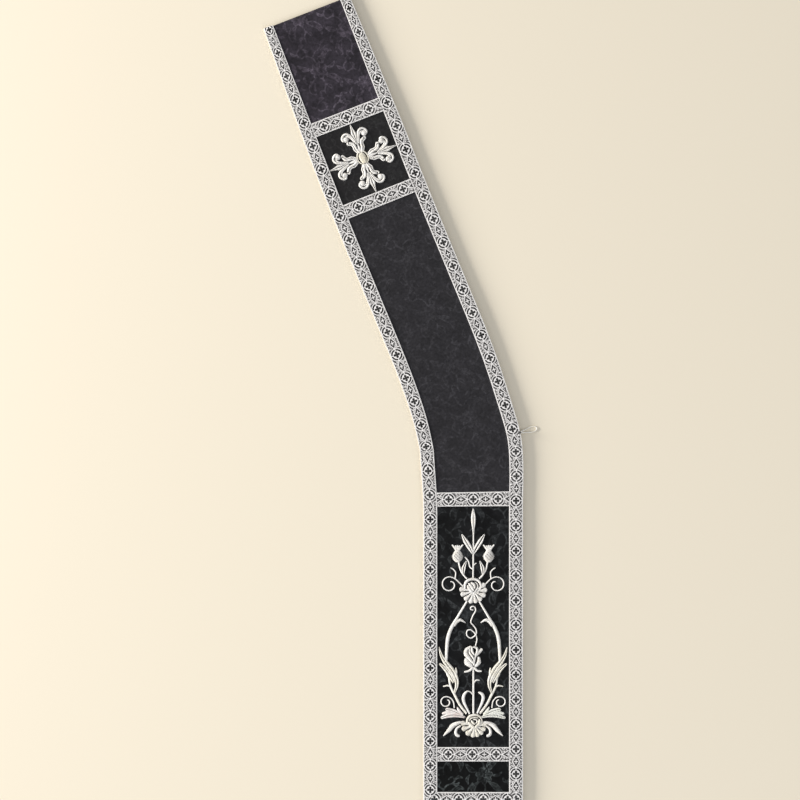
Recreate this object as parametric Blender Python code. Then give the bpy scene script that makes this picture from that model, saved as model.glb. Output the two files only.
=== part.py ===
"""A clerical stole of black brocade, laid flat and folded in half at the centre back.

The band is described in its own coordinates, in millimetres: `along` runs up its centre line
from the hem to the centre-back fold, `across` runs to its right, and `height` up from the table.
Five panels of brocade lie end to end over the hidden second half. Woven galloon tapes cover
their edges and joins, and two panels carry raised satin embroidery. A small cord loop and a bead
are sewn to the outer edge at the bend.
"""

import math
from typing import NamedTuple

import bmesh
import bpy

MM = 0.001

# Driving dimensions of the band, in millimetres
LENGTH = 1078.3
HALF_WIDTH = 65.0
FOLD_HALF_WIDTH = 60.1
TAPER_START = 880.0
TAPER_POWER = 1.2
FULLNESS = 2.0
FULLNESS_MIDDLE = 458.0
FULLNESS_REACH = 75.0
TAPE_WIDTH = 18.0
CROSS_TAPE_WIDTH = 18.6
GAP = 0.3

# Heights of the layers above the table, in millimetres
UNDER_TOP = 3.3
CLOTH_BOTTOM = UNDER_TOP + GAP
CLOTH_TOP = CLOTH_BOTTOM + 2.0
TAPE_BOTTOM = CLOTH_TOP + GAP
TAPE_TOP = TAPE_BOTTOM + 1.0
STITCH_BOTTOM = CLOTH_TOP + GAP

# The folded edge: the tapes turn down round the cloth, whose own nose is smaller
TAPE_NOSE = TAPE_TOP - CLOTH_BOTTOM
CLOTH_NOSE = CLOTH_TOP - CLOTH_BOTTOM
FOLD_START = LENGTH - TAPE_NOSE
TURN_STEPS = 6

# Joins between the panels, each under the middle of a cross tape
JOIN_BELOW_FLOWERS = 68.0
JOIN_ABOVE_FLOWERS = 401.3
JOIN_BELOW_CROSS = 815.9
JOIN_ABOVE_CROSS = 930.0

# Embroidery
CROSS_CENTRE = 873.0
SATIN_RISE = 1.3
STEM_RISE = 1.0

# Cord loop and bead at the bend
LOOP_ALONG = 476.0
CORD_DIAMETER = 1.5
BEAD_RADIUS = 1.6


class Turn(NamedTuple):
    """A smooth change of the centre line's heading, to the left going up."""

    place: str
    middle: float
    length: float
    degrees: float
    step: float


TURNS = (
    Turn("corner above the flower panel", 472.0, 26.0, 8.6, 5.0),
    Turn("shoulder", 509.0, 290.0, 13.9, 20.0),
    Turn("neck", 810.0, 150.0, -1.3, 30.0),
)
PLAIN_STEP = 36.0


class Ring(NamedTuple):
    """One level of a flat piece: its height, and how far its outline draws in there."""

    height: float
    inset: float


CLOTH_RINGS = (
    Ring(CLOTH_BOTTOM, 0.9),
    Ring(CLOTH_BOTTOM + 0.5, 0.6),
    Ring(CLOTH_TOP - 0.8, 0.6),
    Ring(CLOTH_TOP - 0.25, 0.75),
    Ring(CLOTH_TOP, 1.1),
)
CROSS_TAPE_RINGS = (
    Ring(TAPE_BOTTOM, 0.3),
    Ring(TAPE_BOTTOM + 0.4, 0.0),
    Ring(TAPE_TOP - 0.25, 0.0),
    Ring(TAPE_TOP, 0.3),
)
# The hidden half: a tape layer below, a cloth layer above, and the groove between them
UNDER_RINGS = (
    Ring(0.0, 1.2),
    Ring(0.3, 0.7),
    Ring(0.8, 0.7),
    Ring(1.1, 2.0),
    Ring(1.4, 0.9),
    Ring(2.4, 0.6),
    Ring(3.0, 0.8),
    Ring(UNDER_TOP, 1.3),
)


class Finish(NamedTuple):
    """A plain Principled finish: linear colour, roughness and metallic value."""

    name: str
    colour: tuple[float, float, float]
    roughness: float
    metallic: float


BROCADE = Finish("black_brocade", (0.018, 0.018, 0.020), 0.55, 0.0)
GALLOON = Finish("silver_galloon", (0.47, 0.45, 0.43), 0.45, 0.0)
SATIN = Finish("ivory_satin_thread", (0.80, 0.77, 0.71), 0.40, 0.0)
CORD = Finish("ivory_cord", (0.78, 0.74, 0.64), 0.60, 0.0)
BEAD = Finish("black_glass_bead", (0.01, 0.01, 0.01), 0.15, 0.0)


def smooth_step(value):
    """Ease from 0 to 1."""
    value = min(max(value, 0.0), 1.0)
    return value * value * (3.0 - 2.0 * value)


def heading(along):
    """Angle of the centre line from straight up, in radians, positive to the left."""
    degrees = sum(t.degrees * smooth_step((along - t.middle) / t.length + 0.5) for t in TURNS)
    return math.radians(degrees)


def trace_centre_line():
    """Points of the centre line at every millimetre from the hem, by adding up its headings."""
    points = [(0.0, 0.0)]
    for millimetre in range(int(LENGTH) + 10):
        angle = heading(millimetre + 0.5)
        x, y = points[-1]
        points.append((x - math.sin(angle), y + math.cos(angle)))
    return points


CENTRE_LINE = trace_centre_line()


def on_sheet(along, across):
    """Place a point of the band on the table, before the origin is centred."""
    first = min(max(int(along), 0), len(CENTRE_LINE) - 2)
    part = along - first
    (x0, y0), (x1, y1) = CENTRE_LINE[first], CENTRE_LINE[first + 1]
    angle = heading(along)
    x = x0 + (x1 - x0) * part + across * math.cos(angle)
    y = y0 + (y1 - y0) * part + across * math.sin(angle)
    return x, y


def fullness(along):
    """Extra half width at the bend, where the band is cut a little fuller."""
    return FULLNESS * smooth_step(1.0 - abs(along - FULLNESS_MIDDLE) / FULLNESS_REACH)


def half_width(along):
    """Half of the band's width, fuller at the bend and narrower towards the fold."""
    part = max(0.0, (along - TAPER_START) / (LENGTH - TAPER_START))
    narrowing = (HALF_WIDTH - FOLD_HALF_WIDTH) * min(part, 1.0) ** TAPER_POWER
    return HALF_WIDTH + fullness(along) - narrowing


def inner_half_width(along):
    """Half of the width between the side tapes."""
    return HALF_WIDTH - TAPE_WIDTH + fullness(along)


def marks_between(start, end):
    """Stations along the band from start to end, closer together where it turns."""
    marks = [start]
    while marks[-1] < end:
        here = marks[-1]
        near = [t.step for t in TURNS if abs(here + t.step - t.middle) < t.length / 2 + t.step]
        marks.append(here + min(near + [PLAIN_STEP]))
    marks[-1] = end
    if marks[-1] - marks[-2] < 2.0:
        del marks[-2]
    return marks


def find_middle():
    """Middle of the band's box on the table."""
    edge = [on_sheet(a, side * half_width(a)) for a in marks_between(0.0, LENGTH) for side in (-1, 1)]
    xs = [x for x, _ in edge]
    ys = [y for _, y in edge]
    return (min(xs) + max(xs)) / 2, (min(ys) + max(ys)) / 2


MIDDLE = find_middle()


def on_band(along, across, height):
    """World point, in metres, of a place on the band."""
    x, y = on_sheet(along, across)
    return (x - MIDDLE[0]) * MM, (y - MIDDLE[1]) * MM, height * MM


def material_for(finish):
    """The Principled material of a finish, made once."""
    material = bpy.data.materials.get(finish.name)
    if material:
        return material
    material = bpy.data.materials.new(finish.name)
    material.use_nodes = True
    shader = material.node_tree.nodes["Principled BSDF"]
    shader.inputs["Base Color"].default_value = (*finish.colour, 1.0)
    shader.inputs["Roughness"].default_value = finish.roughness
    shader.inputs["Metallic"].default_value = finish.metallic
    return material


def add_object(name, mesh, finish):
    """Put a mesh in the scene as one named object."""
    piece = bpy.data.objects.new(name, mesh)
    piece.data.materials.append(material_for(finish))
    bpy.context.scene.collection.objects.link(piece)
    return piece


def closed_mesh(name, points, faces):
    """A mesh from points and faces, with every face turned outwards."""
    body = bmesh.new()
    corners = [body.verts.new(point) for point in points]
    for face in faces:
        body.faces.new([corners[index] for index in face])
    bmesh.ops.recalc_face_normals(body, faces=body.faces)
    mesh = bpy.data.meshes.new(name)
    body.to_mesh(mesh)
    body.free()
    mesh.shade_smooth()
    mesh.set_sharp_from_angle(angle=math.radians(40))
    return mesh


def walls(first_ring, second_ring, size):
    """Quads between two closed rings of the same size, given by their first indices."""
    return [
        (first_ring + i, first_ring + (i + 1) % size, second_ring + (i + 1) % size, second_ring + i)
        for i in range(size)
    ]


def flat_piece(name, finish, left, right, start, end, rings, ends, nose=None):
    """A flat piece between two long edges, built up as rings from its underside to its top.

    left and right give the edges' places across the band. ends says how much of each ring's
    inset the start and the end take. nose gives the points of the far end at a ring's height.
    """
    points = []
    inner_marks = marks_between(start, end)[1:-1]
    for ring in rings:
        last = end - ring.inset * ends[1]
        far = nose(ring) if nose else []
        marks = [start + ring.inset * ends[0], *inner_marks, far[0][0] if far else last]
        places = [(a, left(a) + ring.inset) for a in marks]
        places += far
        places += [(a, right(a) - ring.inset) for a in reversed(marks)]
        points += [on_band(a, u, ring.height) for a, u in places]
    size = len(points) // len(rings)
    faces = []
    for level in range(len(rings) - 1):
        faces += walls(level * size, (level + 1) * size, size)
    count = len(inner_marks) + 2
    for base in (0, size * (len(rings) - 1)):
        for i in range(count - 1):
            faces.append((base + i, base + i + 1, base + size - 2 - i, base + size - 1 - i))
        if size > 2 * count:
            faces.append([base + i for i in range(count - 1, size - count + 1)])
    return add_object(name, closed_mesh(name, points, faces), finish)


def left_edge(along):
    """Outer edge of the band on the left."""
    return -half_width(along)


def right_edge(along):
    """Outer edge of the band on the right."""
    return half_width(along)


def make_panels():
    """The five panels of brocade, end to end; the last one has the folded edge."""

    def cloth_nose(ring):
        rise = ring.height - CLOTH_BOTTOM
        reach = math.sqrt(max(CLOTH_NOSE ** 2 - rise ** 2, 0.0))
        side = FOLD_HALF_WIDTH - ring.inset
        end = FOLD_START + reach
        return [(end, -side / 3), (end, side / 3)]

    joins = (JOIN_BELOW_FLOWERS, JOIN_ABOVE_FLOWERS, JOIN_BELOW_CROSS, JOIN_ABOVE_CROSS)
    names = ("panel_lower", "panel_flower", "panel_neck", "panel_cross")
    start = 0.0
    for name, join in zip(names, joins):
        hem = 1.0 if start == 0.0 else 0.0
        end = join - GAP / 2
        flat_piece(name, BROCADE, left_edge, right_edge, start, end, CLOTH_RINGS, (hem, 0.0))
        start = join + GAP / 2
    flat_piece(
        "panel_upper", BROCADE, left_edge, right_edge, start, FOLD_START, CLOTH_RINGS, (0.0, 0.0),
        cloth_nose,
    )


def make_under_half():
    """The hidden half of the stole: one rounded solid, layered at its edges."""

    def under_nose(ring):
        drop = (UNDER_TOP - ring.height) / UNDER_TOP
        part = math.sqrt(max(1.0 - drop ** 2, 0.0))
        tape = FOLD_START + TAPE_NOSE * part
        cloth = FOLD_START + CLOTH_NOSE * part
        inner = inner_half_width(LENGTH)
        return [(tape, -inner - 0.2), (cloth, -inner + 0.2), (cloth, inner - 0.2), (tape, inner + 0.2)]

    flat_piece(
        "under_half", BROCADE, left_edge, right_edge, 0.0, FOLD_START, UNDER_RINGS, (1.0, 0.0),
        under_nose,
    )


def make_side_tape(name, side):
    """A side tape, mitred at the hem and turned down over the folded edge."""
    edge_round = 0.3
    mitre = CROSS_TAPE_WIDTH + GAP / 2

    # Each station: where its outer and inner edge stand along the band, and its turn at the fold
    stations = [(0.0, mitre, 0.0)]
    stations += [(a, a, 0.0) for a in marks_between(mitre + 4.0, FOLD_START)]
    for step in range(1, TURN_STEPS + 1):
        stations.append((FOLD_START, FOLD_START, math.radians(90.0 * step / TURN_STEPS)))

    points = []
    for outer_along, inner_along, turn in stations:
        outer = half_width(outer_along)
        inner = inner_half_width(inner_along)
        middle = (TAPE_BOTTOM + TAPE_TOP) / 2
        section = (
            (outer, middle),
            (outer - edge_round, TAPE_TOP),
            (inner + edge_round, TAPE_TOP),
            (inner, middle),
            (inner + edge_round, TAPE_BOTTOM),
            (outer - edge_round, TAPE_BOTTOM),
        )
        for across, height in section:
            share = (outer - across) / (outer - inner)
            along = outer_along + (inner_along - outer_along) * share
            rise = height - CLOTH_BOTTOM
            along += rise * math.sin(turn)
            points.append(on_band(along, side * across, CLOTH_BOTTOM + rise * math.cos(turn)))
    size = 6
    faces = [tuple(range(size)), tuple(range(len(points) - size, len(points)))]
    for index in range(len(stations) - 1):
        faces += walls(index * size, (index + 1) * size, size)
    add_object(name, closed_mesh(name, points, faces), GALLOON)


def make_hem_tape():
    """The tape along the hem, mitred to both side tapes."""
    slope = TAPE_WIDTH / CROSS_TAPE_WIDTH
    play = GAP * 0.8

    def left(along):
        return -HALF_WIDTH + along * slope + play

    def right(along):
        return HALF_WIDTH - along * slope - play

    flat_piece(
        "tape_hem", GALLOON, left, right, 0.0, CROSS_TAPE_WIDTH, CROSS_TAPE_RINGS, (1.0, 1.0)
    )


def make_cross_tapes():
    """The four tapes across the band, which cover the joins between panels."""

    def left(along):
        return -inner_half_width(along) + GAP

    def right(along):
        return inner_half_width(along) - GAP

    tapes = (
        ("tape_below_flowers", JOIN_BELOW_FLOWERS),
        ("tape_above_flowers", JOIN_ABOVE_FLOWERS),
        ("tape_below_cross", JOIN_BELOW_CROSS),
        ("tape_above_cross", JOIN_ABOVE_CROSS),
    )
    for name, join in tapes:
        start = join - CROSS_TAPE_WIDTH / 2
        end = join + CROSS_TAPE_WIDTH / 2
        flat_piece(name, GALLOON, left, right, start, end, CROSS_TAPE_RINGS, (1.0, 1.0))


def through(points, spans=3):
    """A smooth route through hand-chosen points, with a few steps for each span."""
    route = []
    padded = [points[0], *points, points[-1]]
    for i in range(1, len(padded) - 2):
        before, here, there, after = padded[i - 1:i + 3]
        for step in range(spans):
            t = step / spans
            route.append(tuple(
                0.5 * (2 * b + (c - a) * t + (2 * a - 5 * b + 4 * c - d) * t * t
                       + (3 * b - a - 3 * c + d) * t ** 3)
                for a, b, c, d in zip(before, here, there, after)
            ))
    route.append(tuple(points[-1]))
    return route


def spiral(centre, outer, inner, start_degrees, sweep_degrees, steps):
    """Points of a scroll that winds in from its outer to its inner radius."""
    points = []
    for step in range(steps + 1):
        t = step / steps
        radius = outer + (inner - outer) * t ** 3
        angle = math.radians(start_degrees + sweep_degrees * t)
        points.append((centre[0] + radius * math.cos(angle), centre[1] + radius * math.sin(angle)))
    return points


def spread(widths, count):
    """Widths for a route of count points, read evenly from a few given ones."""
    values = []
    for i in range(count):
        place = i / (count - 1) * (len(widths) - 1)
        first = min(int(place), len(widths) - 2)
        values.append(widths[first] + (widths[first + 1] - widths[first]) * (place - first))
    return values


def ribbon(route, widths, rise, place=on_band):
    """Mesh of one padded satin ribbon over a route of (across, along) points."""
    points = []
    values = spread(widths, len(route))
    for i, (across, along) in enumerate(route):
        before = route[max(i - 1, 0)]
        after = route[min(i + 1, len(route) - 1)]
        du, dv = after[0] - before[0], after[1] - before[1]
        size = math.hypot(du, dv)
        nu, nv = dv / size, -du / size
        half = values[i] / 2
        crown = rise * min(1.0, 0.45 + values[i] / 5.0)
        section = ((-1.0, 0.0), (-0.8, 0.65), (0.0, 1.0), (0.8, 0.65), (1.0, 0.0))
        for side, lift in section:
            offset = side * half
            points.append(place(along + nv * offset, across + nu * offset, STITCH_BOTTOM + lift * crown))
    faces = [tuple(range(5)), tuple(range(len(points) - 5, len(points)))]
    for index in range(len(route) - 1):
        faces += walls(index * 5, (index + 1) * 5, 5)
    return closed_mesh("ribbon", points, faces)


def boss(centre, outline, profile, sectors, place=on_band):
    """Mesh of one raised boss: rings of an outline, drawn in and lifted by a profile.

    outline gives the radius at an angle in radians. profile holds (share of the radius, lift).
    """
    points = []
    for share, lift in profile:
        for sector in range(sectors):
            angle = math.tau * sector / sectors
            radius = outline(angle) * share
            height = STITCH_BOTTOM + (lift(angle) if callable(lift) else lift)
            across = centre[0] + radius * math.cos(angle)
            along = centre[1] + radius * math.sin(angle)
            points.append(place(along, across, height))
    faces = [tuple(range(sectors))]
    for level in range(len(profile) - 1):
        faces += walls(level * sectors, (level + 1) * sectors, sectors)
    faces.append(tuple(range(len(points) - sectors, len(points))))
    return closed_mesh("boss", points, faces)


def fuse(name, meshes, finish):
    """Join overlapping meshes into one closed body with Boolean unions."""
    piece = add_object(name, meshes[0], finish)
    others = []
    for index, mesh in enumerate(meshes[1:]):
        other = bpy.data.objects.new(f"{name}_joined_{index}", mesh)
        bpy.context.scene.collection.objects.link(other)
        others.append(other)
        union = piece.modifiers.new(f"join_{index}", "BOOLEAN")
        union.operation = "UNION"
        union.solver = "EXACT"
        union.object = other
    if others:
        bpy.context.view_layer.update()
        evaluated = piece.evaluated_get(bpy.context.evaluated_depsgraph_get())
        joined = bpy.data.meshes.new_from_object(evaluated)
        piece.modifiers.clear()
        piece.data = joined
        piece.data.materials.clear()
        piece.data.materials.append(material_for(finish))
        for other in others:
            bpy.data.objects.remove(other)
    return piece


class Stitch(NamedTuple):
    """One satin-stitched ribbon: its route from root to tip, and its widths on the way."""

    route: tuple[tuple[float, float], ...]
    widths: tuple[float, ...]
    rise: float = SATIN_RISE


def mirrored(route, side):
    """The route on one side of the centre line; side 1 keeps it, and -1 turns it over."""
    return [(u * side, v) for u, v in route]


def make_motif(name, stitches, side=1, extra=(), spans=3):
    """A motif of joined ribbons, which may be turned over to the other side."""
    meshes = [ribbon(through(mirrored(s.route, side), spans), s.widths, s.rise) for s in stitches]
    return fuse(name, meshes + list(extra), SATIN)


def make_cross():
    """The cross: four equal trefoil arms round a knot, in the panel's middle."""
    spear = Stitch(((0.0, 8.6), (0.0, 20.8), (0.0, 33.0), (0.0, 45.4)), (6.0, 7.2, 4.0, 6.6, 3.2, 0.6))
    side_parts = (
        Stitch(((1.8, 11.0), (4.4, 16.0), (7.2, 20.0), (11.4, 24.0)), (3.2, 4.8, 5.2, 4.4)),
        Stitch(
            ((1.4, 17.0), (3.6, 26.0), (9.0, 32.6), (14.6, 33.4), (17.4, 30.0), (15.2, 27.2)),
            (3.4, 4.6, 5.4, 5.4, 5.0, 5.0),
        ),
    )
    names = ("cross_arm_up", "cross_arm_right", "cross_arm_down", "cross_arm_left")
    for quarter, name in enumerate(names):
        cos, sin = ((1, 0), (0, 1), (-1, 0), (0, -1))[quarter]

        def turned(along, across, height, cos=cos, sin=sin):
            return on_band(CROSS_CENTRE + along * cos - across * sin, across * cos + along * sin, height)

        meshes = [ribbon(through(spear.route, 2), spear.widths, spear.rise, turned)]
        for side in (-1, 1):
            for s in side_parts:
                meshes.append(ribbon(through(mirrored(s.route, side), 2), s.widths, s.rise, turned))
        fuse(name, meshes, SATIN)

    def knot_radius(angle):
        return 7.6 - 0.5 * math.cos(4 * angle)

    knot = boss((0.0, CROSS_CENTRE), knot_radius, ((1.0, 0.0), (0.92, 0.9), (0.6, 1.7)), 20)
    add_object("cross_knot", knot, SATIN)


class Rose(NamedTuple):
    """A rose seen from the side of its opening: petals fan below and round its heart."""

    centre: tuple[float, float]
    wide: float
    tall: float
    petals: int


def make_rose(name, rose):
    """A raised rose with a scalloped rim and a groove between its petals."""

    def petal_wave(angle):
        return abs(math.cos(rose.petals * (angle - math.pi / 2) / 2))

    def outline(angle):
        plain = rose.wide * rose.tall / math.hypot(rose.tall * math.cos(angle), rose.wide * math.sin(angle))
        below = smooth_step(0.65 - 0.8 * math.sin(angle))
        return plain * (1.0 - 0.14 * below * (1.0 - petal_wave(angle)))

    profile = (
        (1.0, 0.0),
        (0.95, lambda angle: 0.45 + 0.45 * petal_wave(angle)),
        (0.72, lambda angle: 0.75 + 0.75 * petal_wave(angle)),
        (0.46, 1.0),
        (0.36, 1.7),
    )
    mesh = boss(rose.centre, outline, profile, rose.petals * 4)
    add_object(name, mesh, SATIN)


def make_flowers():
    """The flower panel: a spray of roses, poppies, leaves and scrolls, nearly mirror-even."""
    make_rose("rose_upper", Rose((0.0, 281.0), 18.0, 16.4, 9))
    make_rose("rose_lower", Rose((0.6, 105.8), 16.6, 14.8, 9))
    make_bud_spray()
    make_rosebud()
    make_tendril()
    for side, word in ((-1, "left"), (1, "right")):
        make_poppy(f"poppy_{word}", side)
        make_upper_scroll(f"scroll_upper_{word}", side)
        make_arch(f"arch_{word}", side)
        make_acanthus(f"acanthus_{word}", side)
        make_lower_scroll(f"scroll_lower_{word}", side)
        make_lobed_leaf(f"lobed_leaf_{word}", side)
        make_lower_leaves(word, side)


def make_bud_spray():
    """The tall bud on its stem, with two pointed leaves and a side shoot."""
    stitches = [
        Stitch(((0.0, 298.2), (0.3, 328.0), (0.2, 358.0), (0.3, 371.0), (0.2, 388.4)),
               (2.4, 2.5, 2.6, 4.8, 6.6, 0.6)),
        Stitch(((0.6, 309.5), (-4.0, 312.5), (-6.4, 320.5), (-10.6, 325.6)), (2.2, 2.2, 2.0, 1.6), STEM_RISE),
        Stitch(((0.2, 314.5), (2.8, 317.0), (4.4, 317.6)), (1.6, 1.4, 1.0), STEM_RISE),
    ]
    for side in (-1, 1):
        route = ((side * 0.6, 331.0), (side * 4.6, 338.0), (side * 10.0, 346.0), (side * 14.4, 354.6))
        stitches.append(Stitch(route, (2.6, 5.4, 5.0, 0.6)))
    make_motif("bud_spray", stitches, spans=2)


def make_poppy(name, side):
    """A seed head with a pointed crown, on its stem with one small leaf."""
    centre = (side * 20.4, 326.6)

    def head(angle):
        return 7.2 + 1.0 * max(-math.sin(angle), 0.0) ** 2 + 0.7 * max(math.sin(angle), 0.0) ** 2

    stitches = [
        Stitch(((19.2, 320.5), (16.4, 308.5), (11.6, 301.0), (8.2, 297.6)), (2.6, 2.4, 2.4, 2.4), STEM_RISE),
        Stitch(((12.8, 302.6), (12.6, 311.0), (8.8, 320.6)), (2.4, 5.2, 0.6)),
    ]
    for lean in (-6.8, -2.4, 2.4, 6.8):
        tip = (20.4 + lean, 341.0 + 0.4 * (abs(lean) < 3.0))
        stitches.append(Stitch(((20.4 + lean * 0.15, 331.0), (20.4 + lean * 0.45, 336.0), tip), (3.0, 3.8, 1.2)))
    profile = ((1.0, 0.0), (0.93, 0.7), (0.6, 1.5))
    make_motif(name, stitches, side, [boss(centre, head, profile, 16)], spans=2)


def make_upper_scroll(name, side):
    """A thin scroll that springs from the upper rose, with one curl."""
    centre, radius = (30.8, 290.3), 9.4
    lead = through([(17.4, 290.4), (23.2, 297.2), (30.8, 299.7)], 2)[:-1]
    route = lead + spiral(centre, radius, 3.2, 90.0, -340.0, 16)
    curl = through([(23.6, 297.0), (22.8, 305.0), (25.4, 309.2), (29.0, 311.6)], 2)
    meshes = [
        ribbon(mirrored(route, side), (2.2, 2.4, 2.4, 2.4, 2.2), STEM_RISE),
        ribbon(mirrored(curl, side), (2.2, 2.0, 1.8), STEM_RISE),
    ]
    fuse(name, meshes, SATIN)


def make_arch(name, side):
    """The thick bowed stem between the upper rose and the acanthus leaf, with its hook."""
    stitches = (
        Stitch(((10.0, 263.2), (20.2, 247.6), (28.6, 232.6), (33.4, 217.0), (35.0, 196.0)),
               (2.4, 3.0, 4.2, 3.8, 3.0)),
        Stitch(((23.4, 239.6), (16.4, 244.2), (10.8, 240.6)), (5.0, 3.8, 0.8)),
    )
    make_motif(name, stitches, side)


def make_tendril():
    """The thin tendril between the arches, which curls, loops over itself and ends at the bud."""
    stitches = (
        Stitch(((-0.2, 256.4), (-3.4, 257.6), (-2.0, 261.0), (2.2, 260.4), (3.2, 255.6), (-0.6, 248.4),
                (-2.9, 240.6), (0.6, 236.0), (4.0, 230.8), (3.6, 224.6), (-2.6, 219.8), (-8.0, 223.2),
                (-7.8, 229.2), (-2.6, 231.0)), (1.8, 1.9, 1.9, 1.8), STEM_RISE),
        Stitch(((-3.4, 231.0), (2.4, 225.8), (5.0, 218.4), (3.2, 212.0)), (1.8, 1.8), STEM_RISE * 0.9),
    )
    make_motif("tendril", stitches, spans=2)


def make_rosebud():
    """The half-open rosebud, its sepals and its straight stem with one thorn."""
    centre = (-0.6, 194.0)

    def outline(angle):
        across, up = math.cos(angle), math.sin(angle)
        plain = 10.4 * 15.4 / math.hypot(15.4 * across, 10.4 * up)
        shoulder = 2.6 * max(math.cos(angle - math.radians(48.0)), 0.0) ** 12
        waist = 1.5 * max(math.cos(angle - math.radians(182.0)), 0.0) ** 20
        return plain + shoulder - waist

    def fold(angle):
        return 1.35 + 0.25 * math.cos(3 * angle + 0.6)

    bud = boss(centre, outline, ((1.0, 0.0), (0.94, 0.75), (0.66, fold), (0.3, 1.9)), 24)
    stitches = (
        Stitch(((0.3, 184.0), (0.4, 150.0), (0.3, 121.4)), (2.6, 2.9, 2.8), STEM_RISE),
        Stitch(((0.4, 161.0), (4.6, 165.6), (8.4, 164.4)), (2.0, 1.9, 1.6), STEM_RISE),
        Stitch(((-0.6, 181.0), (-5.6, 176.6), (-11.6, 175.2)), (4.0, 2.8, 1.8)),
        Stitch(((0.8, 181.0), (5.6, 176.6), (11.2, 176.2)), (4.0, 2.8, 1.8)),
    )
    make_motif("rosebud", stitches, 1, [bud], spans=2)


def make_acanthus(name, side):
    """A serrated leaf on its bowed stem, with a thorn."""
    stitches = (
        Stitch(((8.9, 121.6), (17.4, 132.6), (24.6, 146.6), (29.8, 157.0), (32.6, 170.6)),
               (2.8, 3.0, 3.0, 2.6, 2.2), STEM_RISE),
        Stitch(((24.4, 147.6), (21.6, 163.0), (27.4, 177.6), (35.8, 188.4), (41.2, 198.0), (44.2, 208.0)),
               (2.2, 6.6, 9.8, 6.4, 4.2, 0.6)),
        Stitch(((31.0, 174.0), (38.0, 182.4), (44.0, 186.4)), (6.4, 5.0, 1.0)),
        Stitch(((24.6, 169.0), (22.8, 175.6), (23.2, 181.4)), (5.4, 3.4, 0.8)),
        Stitch(((28.6, 155.0), (33.8, 157.8), (39.2, 156.2)), (2.2, 2.0, 1.6), STEM_RISE),
    )
    make_motif(name, stitches, side, spans=2)


def make_lower_scroll(name, side):
    """A small scroll above each lobed leaf."""
    centre, radius = (35.4, 136.6), 6.6
    lead = through([(24.6, 128.8), (25.8, 136.6), (29.6, 141.8), (35.4, 143.2)], 2)[:-1]
    route = lead + spiral(centre, radius, 3.0, 90.0, -330.0, 14)
    fuse(name, [ribbon(mirrored(route, side), (2.0, 2.2, 2.2, 2.0), STEM_RISE)], SATIN)


def make_lobed_leaf(name, side):
    """A broad leaf with two lobes, low on each side."""
    stitches = (
        Stitch(((15.6, 115.6), (23.0, 121.0), (33.0, 120.0), (42.2, 115.6)), (3.4, 7.6, 7.0, 0.8)),
        Stitch(((19.4, 119.6), (20.4, 123.4), (21.0, 126.6)), (4.4, 3.4, 0.8)),
        Stitch(((28.4, 121.0), (32.6, 124.4), (36.2, 127.2)), (6.4, 4.6, 1.2)),
    )
    make_motif(name, stitches, side, spans=2)


def make_lower_leaves(word, side):
    """The plain leaf, the curl and the inner loop on each side of the lower rose."""
    make_motif(
        f"lower_leaf_{word}",
        [Stitch(((18.8, 108.6), (26.0, 105.6), (31.0, 99.6), (38.4, 92.4)), (2.8, 5.4, 4.8, 0.6))],
        side,
    )
    make_motif(
        f"lower_curl_{word}",
        [Stitch(((18.2, 103.0), (22.4, 99.0), (22.2, 94.4), (18.0, 91.6)), (2.0, 3.0, 3.4, 3.0))],
        side,
    )
    make_motif(
        f"inner_loop_{word}",
        [Stitch(((3.6, 148.6), (8.4, 149.4), (12.6, 145.6), (12.6, 139.0), (9.6, 131.6), (4.7, 122.4)),
                (1.6, 2.6, 4.0, 4.4, 3.4, 2.2))],
        side,
        spans=2,
    )


# Route of the cord loop from its root: out from the edge, to its right going up, and height
LOOP_ROUTE = (
    (0.0, -0.95, 3.4),
    (2.4, -1.0, 3.1),
    (5.2, -1.5, 1.7),
    (8.4, -2.2, 0.85),
    (12.2, -3.0, 0.8),
    (16.0, -3.6, 0.8),
    (19.4, -3.2, 0.8),
    (21.8, -1.7, 0.8),
    (22.6, 0.0, 0.8),
    (21.8, 1.7, 0.8),
    (19.4, 3.2, 0.8),
    (16.0, 3.6, 0.8),
    (12.2, 3.0, 0.8),
    (8.4, 2.2, 0.85),
    (5.2, 1.5, 1.7),
    (2.4, 1.0, 3.1),
    (0.0, 0.95, 3.4),
)
LOOP_LEAN = math.radians(4.0)


def make_loop():
    """The thin cord loop, which leaves the edge at the bend and lies on the table."""
    curve = bpy.data.curves.new("loop_cord", "CURVE")
    curve.dimensions = "3D"
    curve.bevel_depth = CORD_DIAMETER / 2 * MM
    curve.bevel_resolution = 2
    curve.use_fill_caps = True
    spline = curve.splines.new("POLY")
    route = through(LOOP_ROUTE, 2)
    spline.points.add(len(route) - 1)
    root = half_width(LOOP_ALONG)
    for point, (out, aside, height) in zip(spline.points, route):
        across = root + out * math.cos(LOOP_LEAN) - aside * math.sin(LOOP_LEAN)
        along = LOOP_ALONG + out * math.sin(LOOP_LEAN) + aside * math.cos(LOOP_LEAN)
        x, y = on_sheet(LOOP_ALONG, across)
        angle = heading(LOOP_ALONG)
        x -= (along - LOOP_ALONG) * math.sin(angle)
        y += (along - LOOP_ALONG) * math.cos(angle)
        point.co = ((x - MIDDLE[0]) * MM, (y - MIDDLE[1]) * MM, height * MM, 1.0)
    piece = bpy.data.objects.new("loop_cord", curve)
    curve.materials.append(material_for(CORD))
    bpy.context.scene.collection.objects.link(piece)


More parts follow.
